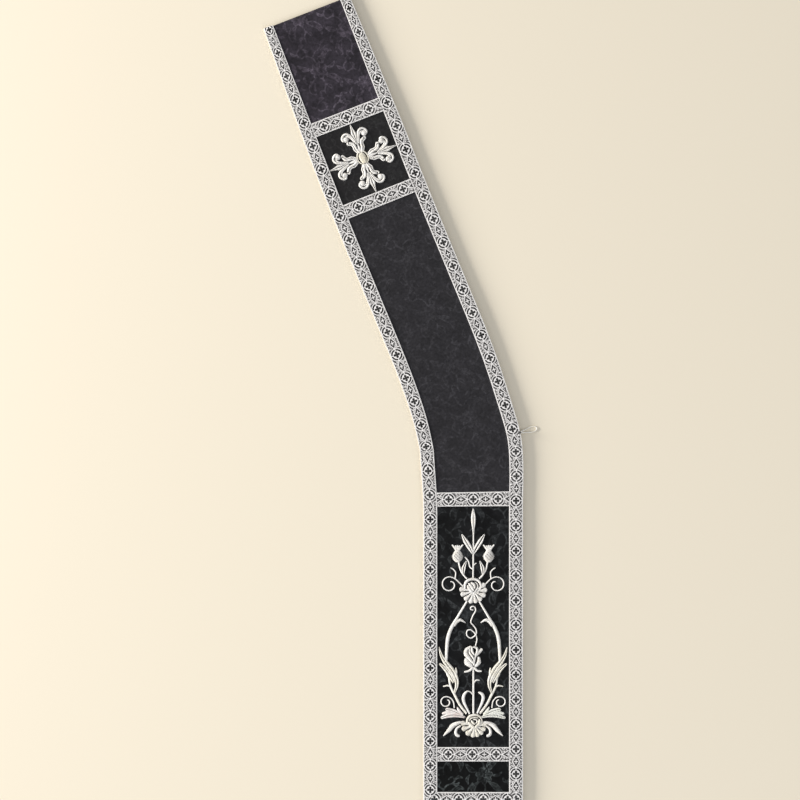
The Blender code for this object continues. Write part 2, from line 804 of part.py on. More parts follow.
def make_bead():
    """The black bead sewn on the tape's edge, over the root of the loop."""
    body = bmesh.new()
    bmesh.ops.create_uvsphere(body, u_segments=12, v_segments=8, radius=BEAD_RADIUS * MM)
    mesh = bpy.data.meshes.new("loop_bead")
    body.to_mesh(mesh)
    body.free()
    mesh.shade_smooth()
    bead = add_object("loop_bead", mesh, BEAD)
    place = on_band(LOOP_ALONG, half_width(LOOP_ALONG) - 0.6, TAPE_TOP + GAP + BEAD_RADIUS)
    bead.location = place


def main():
    """Clear the scene and build the stole."""
    for old in list(bpy.data.objects):
        bpy.data.objects.remove(old)
    make_under_half()
    make_panels()
    make_side_tape("tape_left", -1)
    make_side_tape("tape_right", 1)
    make_hem_tape()
    make_cross_tapes()
    make_cross()
    make_flowers()
    make_loop()
    make_bead()


main()
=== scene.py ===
"""Looks of a black clerical stole, laid flat on a table and folded in half at the centre back.

Lengths are in millimetres on the band: `along` runs up its centre line from the hem to the fold,
`across` runs to its right and `height` up from the table. `Band.place` turns them into metres.
"""

import logging
import math
from dataclasses import dataclass, field, replace
from enum import Enum
from functools import partial
from typing import Any, Callable, NamedTuple, Sequence

import bpy
import numpy as np
from bpy.types import Material, Mesh, NodeSocket, NodeTree, Object
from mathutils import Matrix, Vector


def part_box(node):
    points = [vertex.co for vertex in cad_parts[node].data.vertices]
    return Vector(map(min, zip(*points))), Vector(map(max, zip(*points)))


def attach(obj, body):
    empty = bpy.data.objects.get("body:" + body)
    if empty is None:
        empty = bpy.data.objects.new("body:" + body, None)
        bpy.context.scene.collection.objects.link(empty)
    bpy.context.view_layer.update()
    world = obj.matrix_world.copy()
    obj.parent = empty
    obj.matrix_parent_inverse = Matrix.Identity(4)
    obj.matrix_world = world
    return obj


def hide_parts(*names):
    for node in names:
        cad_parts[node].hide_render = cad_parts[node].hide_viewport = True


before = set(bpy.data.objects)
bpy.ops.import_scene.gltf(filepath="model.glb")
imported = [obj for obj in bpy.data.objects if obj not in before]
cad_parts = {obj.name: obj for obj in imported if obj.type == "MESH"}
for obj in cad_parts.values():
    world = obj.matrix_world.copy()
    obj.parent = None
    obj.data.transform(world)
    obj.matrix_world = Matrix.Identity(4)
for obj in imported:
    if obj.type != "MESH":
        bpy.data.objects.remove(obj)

MM = 0.001
BODY = "root"
UV_NAME = "band"
# One unit of a piece's UV map, and the middle of the map, so that both keep inside 0 to 1
UV_SPAN = 1200.0
UV_MIDDLE = 0.5
# Two lengths that go together, such as a place across and along the band
Point = tuple[float, float]
# Half the thickness of an embroidery thread. Real rayon is finer, and would not show as threads
THREAD_RADIUS = 0.34
# The Mix node's inputs between its factor and its two colours
UNUSED = (None,) * 5

# Millimetres of table that one pixel of the photograph shows, and its pixel at the hem's middle
PIXEL = 1.3092
PHOTO_SIZE = 800.0
HEM_PIXEL = (473.0, 805.5)

log = logging.getLogger("stole")


class Slot(Enum):
    """The record's material slots."""

    BROCADE = "brocade"
    GALLOON = "galloon"
    EMBROIDERY = "embroidery"
    CORD = "cord"
    BEAD = "bead"


class Half(Enum):
    """The half of the stole that shows, and the one that is folded underneath it."""

    UPPER = "upper"
    UNDER = "under"


def linear(colour: str) -> tuple[float, float, float, float]:
    """Turns an sRGB hex colour into linear RGBA.

    Args:
        colour: six hex digits after a hash sign.

    Returns:
        Linear red, green and blue, with alpha 1.
    """
    values = [int(colour[i:i + 2], 16) / 255.0 for i in (1, 3, 5)]
    red, green, blue = (v / 12.92 if v <= 0.04045 else ((v + 0.055) / 1.055) ** 2.4 for v in values)
    return red, green, blue, 1.0


def add_node(tree: NodeTree, kind: str, *inputs: Any, **settings: Any) -> Any:
    """Adds a node to a tree.

    Args:
        tree: the tree that it joins.
        kind: the node's type, without ShaderNode in front, and its operation after a space.
        inputs: a socket to link, a value to set or None to leave, for each input in turn.
        settings: properties of the node, and `take` for the name or place of the output wanted.

    Returns:
        The wanted output socket, or the node where `take` is "node".
    """
    take = settings.pop("take", 0)
    word, _, operation = kind.partition(" ")
    node = tree.nodes.new(word if "Node" in word else f"ShaderNode{word}")
    if operation:
        node.operation = operation
    for name, value in settings.items():
        setattr(node, name, value)
    for socket, value in zip(node.inputs, inputs):
        if isinstance(value, NodeSocket):
            tree.links.new(value, socket)
        elif value is not None:
            socket.default_value = value
    return node if take == "node" else node.outputs[take]


def ease(value: np.ndarray | float) -> np.ndarray:
    """Eases from 0 to 1, and stays there outside."""
    clipped = np.clip(value, 0.0, 1.0)
    return clipped * clipped * (3.0 - 2.0 * clipped)


class Turn(NamedTuple):
    """A smooth change of the centre line's heading, to the left going up."""

    middle: float
    length: float
    degrees: float


class Crease(NamedTuple):
    """A soft ridge, or a trough if its height is negative, left by handling and storage."""

    along: float
    across: float
    degrees: float
    length: float
    width: float
    height: float


@dataclass
class Band:
    """The flat, bent band that every layer of the stole follows."""

    length: float = 1078.3
    half: float = 65.0
    fold_half: float = 60.1
    taper_start: float = 880.0
    taper_power: float = 1.2
    fullness: float = 2.0
    fullness_middle: float = 458.0
    fullness_reach: float = 75.0
    tape_width: float = 18.0
    cross_tape_width: float = 18.6
    fold_start: float = 1075.0
    fold_height: float = 3.45
    turns: tuple[Turn, ...] = (Turn(472.0, 26.0, 8.6), Turn(509.0, 290.0, 13.9), Turn(810.0, 150.0, -1.3))
    # How far the cloth stands up at rest, and its slow waves: height, reach along, reach across, phase
    spring: float = 0.16
    waves: tuple[tuple[float, ...], ...] = ((0.10, 47.0, 61.0, 0.0), (0.08, 23.0, -37.0, 1.0))
    flat_end: float = 45.0
    crease_bow: float = 0.004
    creases: tuple[Crease, ...] = (
        Crease(118, -30, 12, 34, 5, 0.20),
        Crease(262, 36, 98, 26, 5.5, -0.14),
        Crease(338, -34, 70, 30, 6, 0.18),
        Crease(436, 8, 158, 42, 6.5, 0.34),
        Crease(458, -16, 141, 36, 5, -0.16),
        Crease(492, 22, 24, 44, 8, 0.30),
        Crease(566, -10, 96, 60, 9, 0.26),
        Crease(634, 27, 84, 48, 7, -0.15),
        Crease(702, -22, 102, 55, 8, 0.24),
        Crease(772, 12, 20, 38, 7, 0.20),
        Crease(888, 34, 80, 28, 6, 0.16),
        Crease(978, -18, 8, 46, 7.5, 0.30),
        Crease(1022, 20, 164, 40, 6, -0.14),
    )

    def __post_init__(self) -> None:
        """Adds up the centre line's headings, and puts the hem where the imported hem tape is."""
        self.marks = np.arange(int(self.length) + 12.0)
        middles = self.heading(self.marks[:-1] + 0.5)
        self.line_x = np.concatenate(([0.0], np.cumsum(-np.sin(middles))))
        self.line_y = np.concatenate(([0.0], np.cumsum(np.cos(middles))))
        low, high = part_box("tape_hem")
        self.hem = ((low.x + high.x) / 2 / MM, low.y / MM)

    def heading(self, along: np.ndarray | float) -> np.ndarray:
        """The centre line's angle from straight up, in radians, positive to the left."""
        return np.radians(sum(t.degrees * ease((along - t.middle) / t.length + 0.5) for t in self.turns))

    def spare(self, along: np.ndarray | float) -> np.ndarray:
        """Extra half width at the bend, where the band is cut fuller."""
        return self.fullness * ease(1.0 - np.abs(along - self.fullness_middle) / self.fullness_reach)

    def outer(self, along: np.ndarray | float) -> np.ndarray:
        """Half of the band's width."""
        part = np.clip((along - self.taper_start) / (self.length - self.taper_start), 0.0, 1.0)
        return self.half + self.spare(along) - (self.half - self.fold_half) * part ** self.taper_power

    def inner(self, along: np.ndarray | float) -> np.ndarray:
        """Half of the width between the side tapes."""
        return self.half - self.tape_width + self.spare(along)

    def lie(self, along: np.ndarray, across: np.ndarray) -> np.ndarray:
        """How far the cloth stands up from lying dead flat: slow waves and a few soft creases.

        Args:
            along: places along the band.
            across: places across it.

        Returns:
            The rise at each place.
        """
        rise = self.spring
        for height, up, aside, phase in self.waves:
            rise = rise + height * np.sin(along / up + across / aside + phase)
        for c in self.creases:
            angle = math.radians(c.degrees)
            du, dv = across - c.across, along - c.along
            run = du * math.cos(angle) + dv * math.sin(angle)
            aside = dv * math.cos(angle) - du * math.sin(angle) + self.crease_bow * run * run
            rise = rise + c.height * np.exp(-((aside / c.width) ** 2) - (run / c.length) ** 4)
        return rise * ease((self.fold_start - along) / self.flat_end)

    def place(
        self, along: np.ndarray, across: np.ndarray, height: np.ndarray, half: Half = Half.UPPER
    ) -> np.ndarray:
        """Turns places on the band into points in the row frame.

        Args:
            along: distances from the hem.
            across: distances to the right of the centre line.
            height: heights above the table on the upper half.
            half: the half that they are on; the under half is the same, turned over.

        Returns:
            The points in metres, with x, y and z along the last axis.
        """
        along, across, height = np.broadcast_arrays(along, across, height)
        angle = self.heading(along)
        x = np.interp(along, self.marks, self.line_x) + across * np.cos(angle) + self.hem[0]
        y = np.interp(along, self.marks, self.line_y) + across * np.sin(angle) + self.hem[1]
        if half is Half.UPPER:
            z = height + self.lie(along, across)
        else:
            z = 2 * self.fold_height - height
        return np.stack((x, y, z), axis=-1) * MM

    def fold_over(
        self, along: np.ndarray, across: np.ndarray, height: np.ndarray, turn: float, half: Half
    ) -> np.ndarray:
        """Places a section that has turned by `turn` radians round the folded edge."""
        rise = height - self.fold_height
        out, up = rise * math.sin(turn), rise * math.cos(turn)
        return self.place(along + out, across, self.fold_height + up, half)

    def area(self, start: float, end: float) -> float:
        """Flat area of the band between two places, in square metres."""
        steps = np.linspace(start, end, 200)
        return float(np.mean(self.outer(steps)) * 2 * (end - start)) * MM * MM


def signed_volume(mesh: Mesh) -> float:
    """Works out the volume inside a closed mesh.

    Args:
        mesh: the mesh.

    Returns:
        The volume, negative where the faces point inwards.
    """
    mesh.calc_loop_triangles()
    corners = np.zeros(len(mesh.loop_triangles) * 3, np.int32)
    mesh.loop_triangles.foreach_get("vertices", corners)
    points = np.zeros(len(mesh.vertices) * 3, np.float32)
    mesh.vertices.foreach_get("co", points)
    a, b, c = points.reshape(-1, 3).astype(float)[corners.reshape(-1, 3)].transpose(1, 0, 2)
    return float(np.einsum("ij,ij->i", a, np.cross(b, c)).sum() / 6.0)


def make_mesh(
    name: str,
    points: np.ndarray,
    faces: Sequence[Sequence[int]],
    uv: np.ndarray | None = None,
    fields: dict[str, np.ndarray] | None = None,
    sharp: float = 38.0,
) -> Mesh:
    """Makes a closed mesh whose faces point outwards.

    Args:
        name: the mesh's name.
        points: its points, in metres.
        faces: the points of each face.
        uv: a map coordinate for each point.
        fields: named values for each point, which its material reads.
        sharp: edges that turn more than this many degrees stay sharp.

    Returns:
        The mesh, shaded smooth.
    """
    mesh = bpy.data.meshes.new(name)
    mesh.from_pydata(points.reshape(-1, 3).tolist(), [], faces)
    if signed_volume(mesh) < 0:
        mesh.flip_normals()
    if uv is not None:
        corners = np.zeros(len(mesh.loops), np.int32)
        mesh.loops.foreach_get("vertex_index", corners)
        layer = mesh.uv_layers.new(name=UV_NAME)
        layer.uv.foreach_set("vector", uv.reshape(-1, 2)[corners].astype(np.float32).ravel())
    for key, values in (fields or {}).items():
        attribute = mesh.attributes.new(key, "FLOAT", "POINT")
        attribute.data.foreach_set("value", values.astype(np.float32).ravel())
    mesh.shade_smooth()
    mesh.set_sharp_from_angle(angle=math.radians(sharp))
    return mesh


def ring_faces(first: int, rings: int, size: int, joined: bool = False) -> list[list[int]]:
    """Faces of a closed form that is lofted through rings.

    Args:
        first: index of the first ring's first point.
        rings: how many rings there are.
        size: points in each ring.
        joined: joins the last ring to the first, where otherwise each end has a cap.

    Returns:
        The faces' point indices.
    """
    faces = []
    for ring in range(rings if joined else rings - 1):
        low, high = first + ring * size, first + (ring + 1) % rings * size
        faces += [[low + i, low + (i + 1) % size, high + (i + 1) % size, high + i] for i in range(size)]
    if not joined:
        faces += [list(range(end, end + size)) for end in (first, first + (rings - 1) * size)]
    return faces


def settle(
    name: str, mesh: Mesh, material: Material, nodes: Sequence[str] = ()
) -> Object:
    """Makes a finished mesh one of the stole's pieces.

    Args:
        name: the piece's name.
        mesh: its mesh, in the row frame.
        material: its material.
        nodes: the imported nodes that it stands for.

    Returns:
        The piece.
    """
    mesh.materials.append(material)
    piece = bpy.data.objects.new(name, mesh)
    bpy.context.scene.collection.objects.link(piece)
    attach(piece, BODY)
    if nodes:
        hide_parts(*nodes)
    log.info("%s: %d faces", name, len(mesh.polygons))
    return piece


def smooth_route(points: Sequence[Sequence[float]], places: np.ndarray) -> np.ndarray:
    """Reads a smooth route through hand-chosen points.

    Args:
        points: the points that it passes through.
        places: where to read it, from 0 at the first point to 1 at the last.

    Returns:
        A row for each place.
    """
    rows = np.array([points[0], *points, points[-1]], float)
    at = np.clip(places, 0.0, 1.0) * (len(points) - 1)
    first = np.minimum(at.astype(int), len(points) - 2)
    t = (at - first)[:, None]
    a, b, c, d = (rows[first + i] for i in range(4))
    square, cube = 2 * a - 5 * b + 4 * c - d, 3 * b - a - 3 * c + d
    return 0.5 * (2 * b + (c - a) * t + square * t ** 2 + cube * t ** 3)


def read_evenly(values: Sequence[float], places: np.ndarray) -> np.ndarray:
    """Reads values that are spaced evenly from place 0 to place 1."""
    return np.interp(places, np.linspace(0.0, 1.0, len(values)), values)


@dataclass(frozen=True)
class Finish:
    """A real finish, by its name. Each kind gives its own shader inputs."""

    name: str

    def inputs(self, node: Callable[..., Any]) -> dict[str, Any]:
        """The shader's inputs.

        Args:
            node: adds a node to the material.

        Returns:
            A socket or a value for each input's name.
        """
        raise NotImplementedError

    def material(self) -> Material:
        """Builds the material.

        Returns:
            The material.
        """
        made = bpy.data.materials.new(self.name)
        made.use_nodes = True
        tree = made.node_tree
        shader = tree.nodes["Principled BSDF"]
        for name, value in self.inputs(partial(add_node, tree)).items():
            if isinstance(value, NodeSocket):
                tree.links.new(value, shader.inputs[name])
            else:
                shader.inputs[name].default_value = value
        return made


@dataclass(frozen=True)
class BlackDamask(Finish):
    """Silk damask, jacquard woven: satin figures on a duller ground of the same black thread.

    The figure is a smoother weave whose lighter colour is partly painted sheen of its satin floats, and
    its thin bright edge, also along the leaves' veins, is a painted highlight. Its twill ribs
    and its slubs are drawn coarser than silk's, so that they show.
    """

    # Colours: the ground; the figure, partly painted sheen; the edge, a painted highlight
    ground: str
    figure: str
    edge: str
    roughness: float = 0.6
    figure_roughness: float = 0.46
    sheen: float = 0.03
    gloss: float = 0.2
    twill: float = 0.7
    slub: float = 7.0
    cloud: float = 0.15

    def inputs(self, node: Callable[..., Any]) -> dict[str, Any]:
        """The shader's inputs: the figure's masks and its painted highlight, then uneven dye, then the
        weave's relief.

        Args:
            node: adds a node to the material.

        Returns:
            A socket or a value for each input's name.
        """
        figure = node("Attribute", attribute_name="figure", take="Fac")
        vein = node("Attribute", attribute_name="vein", take="Fac")
        uv = node("UVMap", uv_map=UV_NAME)
        inside = node("MapRange", figure, 0.3, -0.3, 0.0, 1.0)
        # The rim and vein masks lay a painted highlight: a thin bright line on the figure's edge and veins
        rim = node("MapRange", node("Math ABSOLUTE", figure), 0.75, 0.2, 0.0, 1.0)
        edge = node("Math MAXIMUM", rim, node("MapRange", vein, 0.7, 0.2, 0.0, 1.0))
        # Each noise has its size in slubs, its detail and its roughness
        slub, patch, mottle, cloud = (
            node("TexNoise", uv, None, UV_SPAN / (self.slub * size), detail, rough, take="Fac")
            for size, detail, rough in ((1.0, 3.0, 0.6), (5.0, 2.0, 0.5), (0.5, 3.0, 0.65), (3.2, 2.0, 0.6))
        )
        # Random patches where the painted highlight shows
        patchy_highlight = node("MapRange", patch, 0.38, 0.62, 0.15, 1.0)
        fleck = node("MapRange", slub, 0.36, 0.64, 0.1, 1.0)
        mottle = node("MapRange", mottle, 0.35, 0.65, 0.72, 1.35)
        cloud = node("MapRange", cloud, 0.38, 0.62, 1.0 - self.cloud, 1.0 + self.cloud)
        shown = node("Math MULTIPLY", node("Math MULTIPLY", edge, patchy_highlight), fleck)
        # The figure's colour is partly painted sheen, and the edge's colour is a painted highlight
        colour = linear(self.ground)
        for mask, thread in ((node("Math MULTIPLY", inside, fleck), self.figure), (shown, self.edge)):
            colour = node("Mix", mask, *UNUSED, colour, linear(thread), data_type="RGBA", take=2)
        ribs = node("TexWave", uv, UV_SPAN / self.twill / 20.0, 1.2, 2.0, 1.0, 0.5,
                    wave_type="BANDS", bands_direction="DIAGONAL", take="Fac")
        relief = node("Math MULTIPLY_ADD", slub, 0.8, node("Math MULTIPLY_ADD", inside, 0.5, ribs))
        return {
            "Base Color": node("VectorMath MULTIPLY", colour, node("Math MULTIPLY", mottle, cloud)),
            "Roughness": node("MapRange", inside, 0.0, 1.0, self.roughness, self.figure_roughness),
            "Normal": node("Bump", 0.35, 0.12 * MM, None, relief),
            "Sheen Weight": self.sheen,
            "Sheen Roughness": 0.45,
            "Specular IOR Level": self.gloss,
        }


@dataclass(frozen=True)
class SilverGalloon(Finish):
    """Woven galloon: silver-white and charcoal threads, jacquard woven in a guilloche repeat.

    A cross in a ring alternates with a pointed lozenge, and light strands cross between them. Its
    flecks are drawn about four threads wide, which is coarser than real ones, so that they show.
    """

    name: str = "woven_silver_galloon"
    repeat: float = 32.0
    warp: float = 0.42
    weft: float = 0.5
    light: str = "#FAF8F6"
    ground: str = "#D2D0CE"
    shade: str = "#3A3735"
    dark: str = "#0C0B0A"
    # The medallion: a cross of four petals and two bars, its ring with four breaks, its light field
    petal_reach: float = 2.7
    petal_radius: float = 1.75
    bar_half: float = 1.15
    bar_reach: float = 2.6
    ring_radius: float = 6.35
    ring_half: float = 1.1
    side_break: float = 0.6
    end_break: float = 0.5
    field_radius: float = 8.1
    # Between medallions: dark corners, crossing strands, and a lozenge with a light plus and dots
    corner_radius: float = 9.4
    corner_half: float = 0.8
    corner_from: float = 4.4
    slope: float = 1.7
    squash: float = 0.6
    strand_radius: float = 7.75
    strand_cross: float = 8.2
    strand_half: float = 0.75
    lozenge_reach: float = 6.2
    plus_half: float = 0.5
    plus_reach: float = 2.9
    dot_across: float = 6.4
    dot_along: float = 3.9
    dot_radius: float = 0.95
    selvedge: float = 7.9

    def inputs(self, node: Callable[..., Any]) -> dict[str, Any]:
        """The shader's inputs: shapes as distances to their edges, then threads, then relief.

        Args:
            node: adds a node to the material.

        Returns:
            A socket or a value for each input's name.
        """
        parts = node("SeparateXYZ", node("UVMap", uv_map=UV_NAME), take="node")
        raw_across = node("Math MULTIPLY_ADD", parts.outputs["X"], UV_SPAN, -UV_MIDDLE * UV_SPAN)
        raw_along = node("Math MULTIPLY", parts.outputs["Y"], UV_SPAN)
        across = node("Math ADD", node("Math SNAP", raw_across, self.warp), self.warp / 2)
        along = node("Math ADD", node("Math SNAP", raw_along, self.weft), self.weft / 2)

        # Millimetres from the middle line, from the nearest medallion and from the nearest lozenge
        a = node("Math ABSOLUTE", across)
        v = node("Math PINGPONG", along, self.repeat / 2)
        b = node("Math SUBTRACT", self.repeat / 2, v)
        place = node("CombineXYZ", a, v, 0.0)
        reach = node("VectorMath LENGTH", place, take="Value")

        # Each shape is a distance to its edge, negative inside
        less = partial(node, "Math SUBTRACT")
        petals = node("Math MINIMUM", *(
            node("VectorMath DISTANCE", place, middle, take="Value")
            for middle in ((self.petal_reach, 0.0, 0.0), (0.0, self.petal_reach, 0.0))
        ))
        bar = node("Math MAXIMUM", less(node("Math MINIMUM", a, v), self.bar_half),
                   less(node("Math MAXIMUM", a, v), self.bar_reach))
        cross = node("Math MINIMUM", less(petals, self.petal_radius), bar)
        ring = node("Math ABSOLUTE", less(reach, self.ring_radius))
        ring = node("Math MAXIMUM", less(ring, self.ring_half), less(self.side_break, a))
        ring = node("Math MAXIMUM", ring, less(self.end_break, v))
        field = less(reach, self.field_radius)
        corner = node("Math ABSOLUTE", less(reach, self.corner_radius))
        corner = node("Math MAXIMUM", less(corner, self.corner_half), less(self.corner_from, a))
        pointed = node("Math MULTIPLY_ADD", a, self.slope, b)
        spread = node("Math ABSOLUTE", node("Math MULTIPLY", less(pointed, self.strand_cross), self.squash))
        strand = node("Math MINIMUM", node("Math ABSOLUTE", less(reach, self.strand_radius)),
                      node("Math ADD", spread, 0.15))
        strand_body = less(strand, self.strand_half)
        lozenge = node("Math MULTIPLY", less(pointed, self.lozenge_reach), self.squash)
        plus = node("Math MAXIMUM", less(node("Math MINIMUM", a, b), self.plus_half),
                    less(node("Math MAXIMUM", a, b), self.plus_reach))
        place = node("CombineXYZ", a, b, 0.0)
        dots = node("Math MINIMUM", *(
            node("VectorMath DISTANCE", place, (self.dot_across, along, 0.0), take="Value")
            for along in (self.dot_along, 0.0)
        ))

        # Single threads show as flecks of the other two colours, and the figure's threads vary
        threads = node("CombineXYZ", node("Math MULTIPLY", across, 1 / 1.8),
                       node("Math MULTIPLY", along, 1 / 1.5), 0.0)
        fleck = node("TexNoise", threads, None, 1.0, 1.0, 0.5, take="Fac")
        mottle = node("TexNoise", threads, None, 0.06, 1.0, 0.5, take="Fac")
        keep = node("MapRange", mottle, 0.35, 0.65, 0.95, 1.0)
        light, colour, shade, dark = (linear(c) for c in (self.light, self.ground, self.shade, self.dark))
        masks = [
            (node("MapRange", fleck, 0.5, 0.57, 0.0, 0.95), shade),
            (node("MapRange", fleck, 0.46, 0.38, 0.0, 0.95), light),
        ]
        for distance, thread, strength in (
            (less(dots, self.dot_radius), dark, 0.95),
            (corner, dark, 0.95),
            (less(strand, 1.3), shade, 0.9),
            (strand_body, light, 1.0),
            (lozenge, dark, node("Math MULTIPLY", keep, 0.98)),
            (plus, light, 1.0),
            (field, light, 1.0),
            (ring, dark, keep),
            (cross, dark, keep),
            (less(self.selvedge, a), light, 0.85),
        ):
            shown = node("MapRange", distance, 0.22, -0.22, 0.0, 1.0)
            masks.append((node("Math MULTIPLY", shown, strength), thread))
        for mask, thread in masks:
            colour = node("Mix", mask, *UNUSED, colour, thread, data_type="RGBA", take=2)

        weft = node("Math SINE", node("Math MULTIPLY", raw_along, math.tau / self.weft))
        warp = node("Math SINE", node("Math MULTIPLY", raw_across, math.tau / self.warp))
        relief = node("Math MULTIPLY_ADD", strand_body, -0.4, node("Math MULTIPLY", weft, warp))
        return {
            "Base Color": colour,
            "Normal": node("Bump", 0.4, 0.08 * MM, None, relief),
            "Roughness": node("MapRange", fleck, 0.3, 0.7, 0.5, 0.38),
            "Sheen Weight": 0.06,
            "Specular IOR Level": 0.25,
        }


@dataclass(frozen=True)
class SatinThread(Finish):
    """Rayon embroidery thread, laid side by side in satin stitch: soft gloss along each thread."""

    thread: str
    shaded: str
    roughness: float = 0.42
    sheen: float = 0.25
    patch: float = 5.0

    def inputs(self, node: Callable[..., Any]) -> dict[str, Any]:
        """The shader's inputs: two tones in patches, and a fine change of gloss.

        Args:
            node: adds a node to the material.

        Returns:
            A socket or a value for each input's name.
        """
        place = node("TexCoord", take="Object")
        patch = node("TexNoise", place, None, 1000.0 / self.patch, 2.0, 0.6, take="Fac")
        share = node("MapRange", patch, 0.35, 0.7, 0.0, 1.0)
        tones = linear(self.thread), linear(self.shaded)
        fine = node("TexNoise", place, None, 1000.0 / 0.6, 1.0, 0.5, take="Fac")
        return {
            "Base Color": node("Mix", share, *UNUSED, *tones, data_type="RGBA", take=2),
            "Roughness": node("MapRange", fine, 0.3, 0.7, self.roughness - 0.06, self.roughness + 0.08),
            "Sheen Weight": self.sheen,
            "Sheen Roughness": 0.4,
        }


@dataclass(frozen=True)
class BlackGlass(Finish):
    """Pressed black glass, fire polished: a hard, bright highlight on a deep black."""

    name: str = "fire_polished_black_glass"
    colour: str = "#08080A"

    def inputs(self, node: Callable[..., Any]) -> dict[str, Any]:
        """The shader's inputs: an even colour under faint smudges.

        Args:
            node: adds a node to the material.

        Returns:
            A socket or a value for each input's name.
        """
        smudge = node("TexNoise", node("TexCoord", take="Object"), None, 900.0, 2.0, 0.5, take="Fac")
        return {
            "Base Color": linear(self.colour),
            "Roughness": node("MapRange", smudge, 0.3, 0.7, 0.08, 0.2),
            "IOR": 1.52,
        }


@dataclass(frozen=True)
class PaintedBoard(Finish):
    """Matt painted board for the studio's table: pale, warm and even."""

    name: str = "pale_matt_board"
    colour: str = "#F0E7D3"

    def inputs(self, node: Callable[..., Any]) -> dict[str, Any]:
        """The shader's inputs, which need no nodes.

        Args:
            node: not used.

        Returns:
            A value for each input's name.
        """
        return {"Base Color": linear(self.colour), "Roughness": 0.9, "Specular IOR Level": 0.1}


class Row(NamedTuple):
    """One drawn stroke: its route of (across, along) points, and its widths on the way."""

    route: tuple[Point, ...]
    widths: tuple[float, ...]


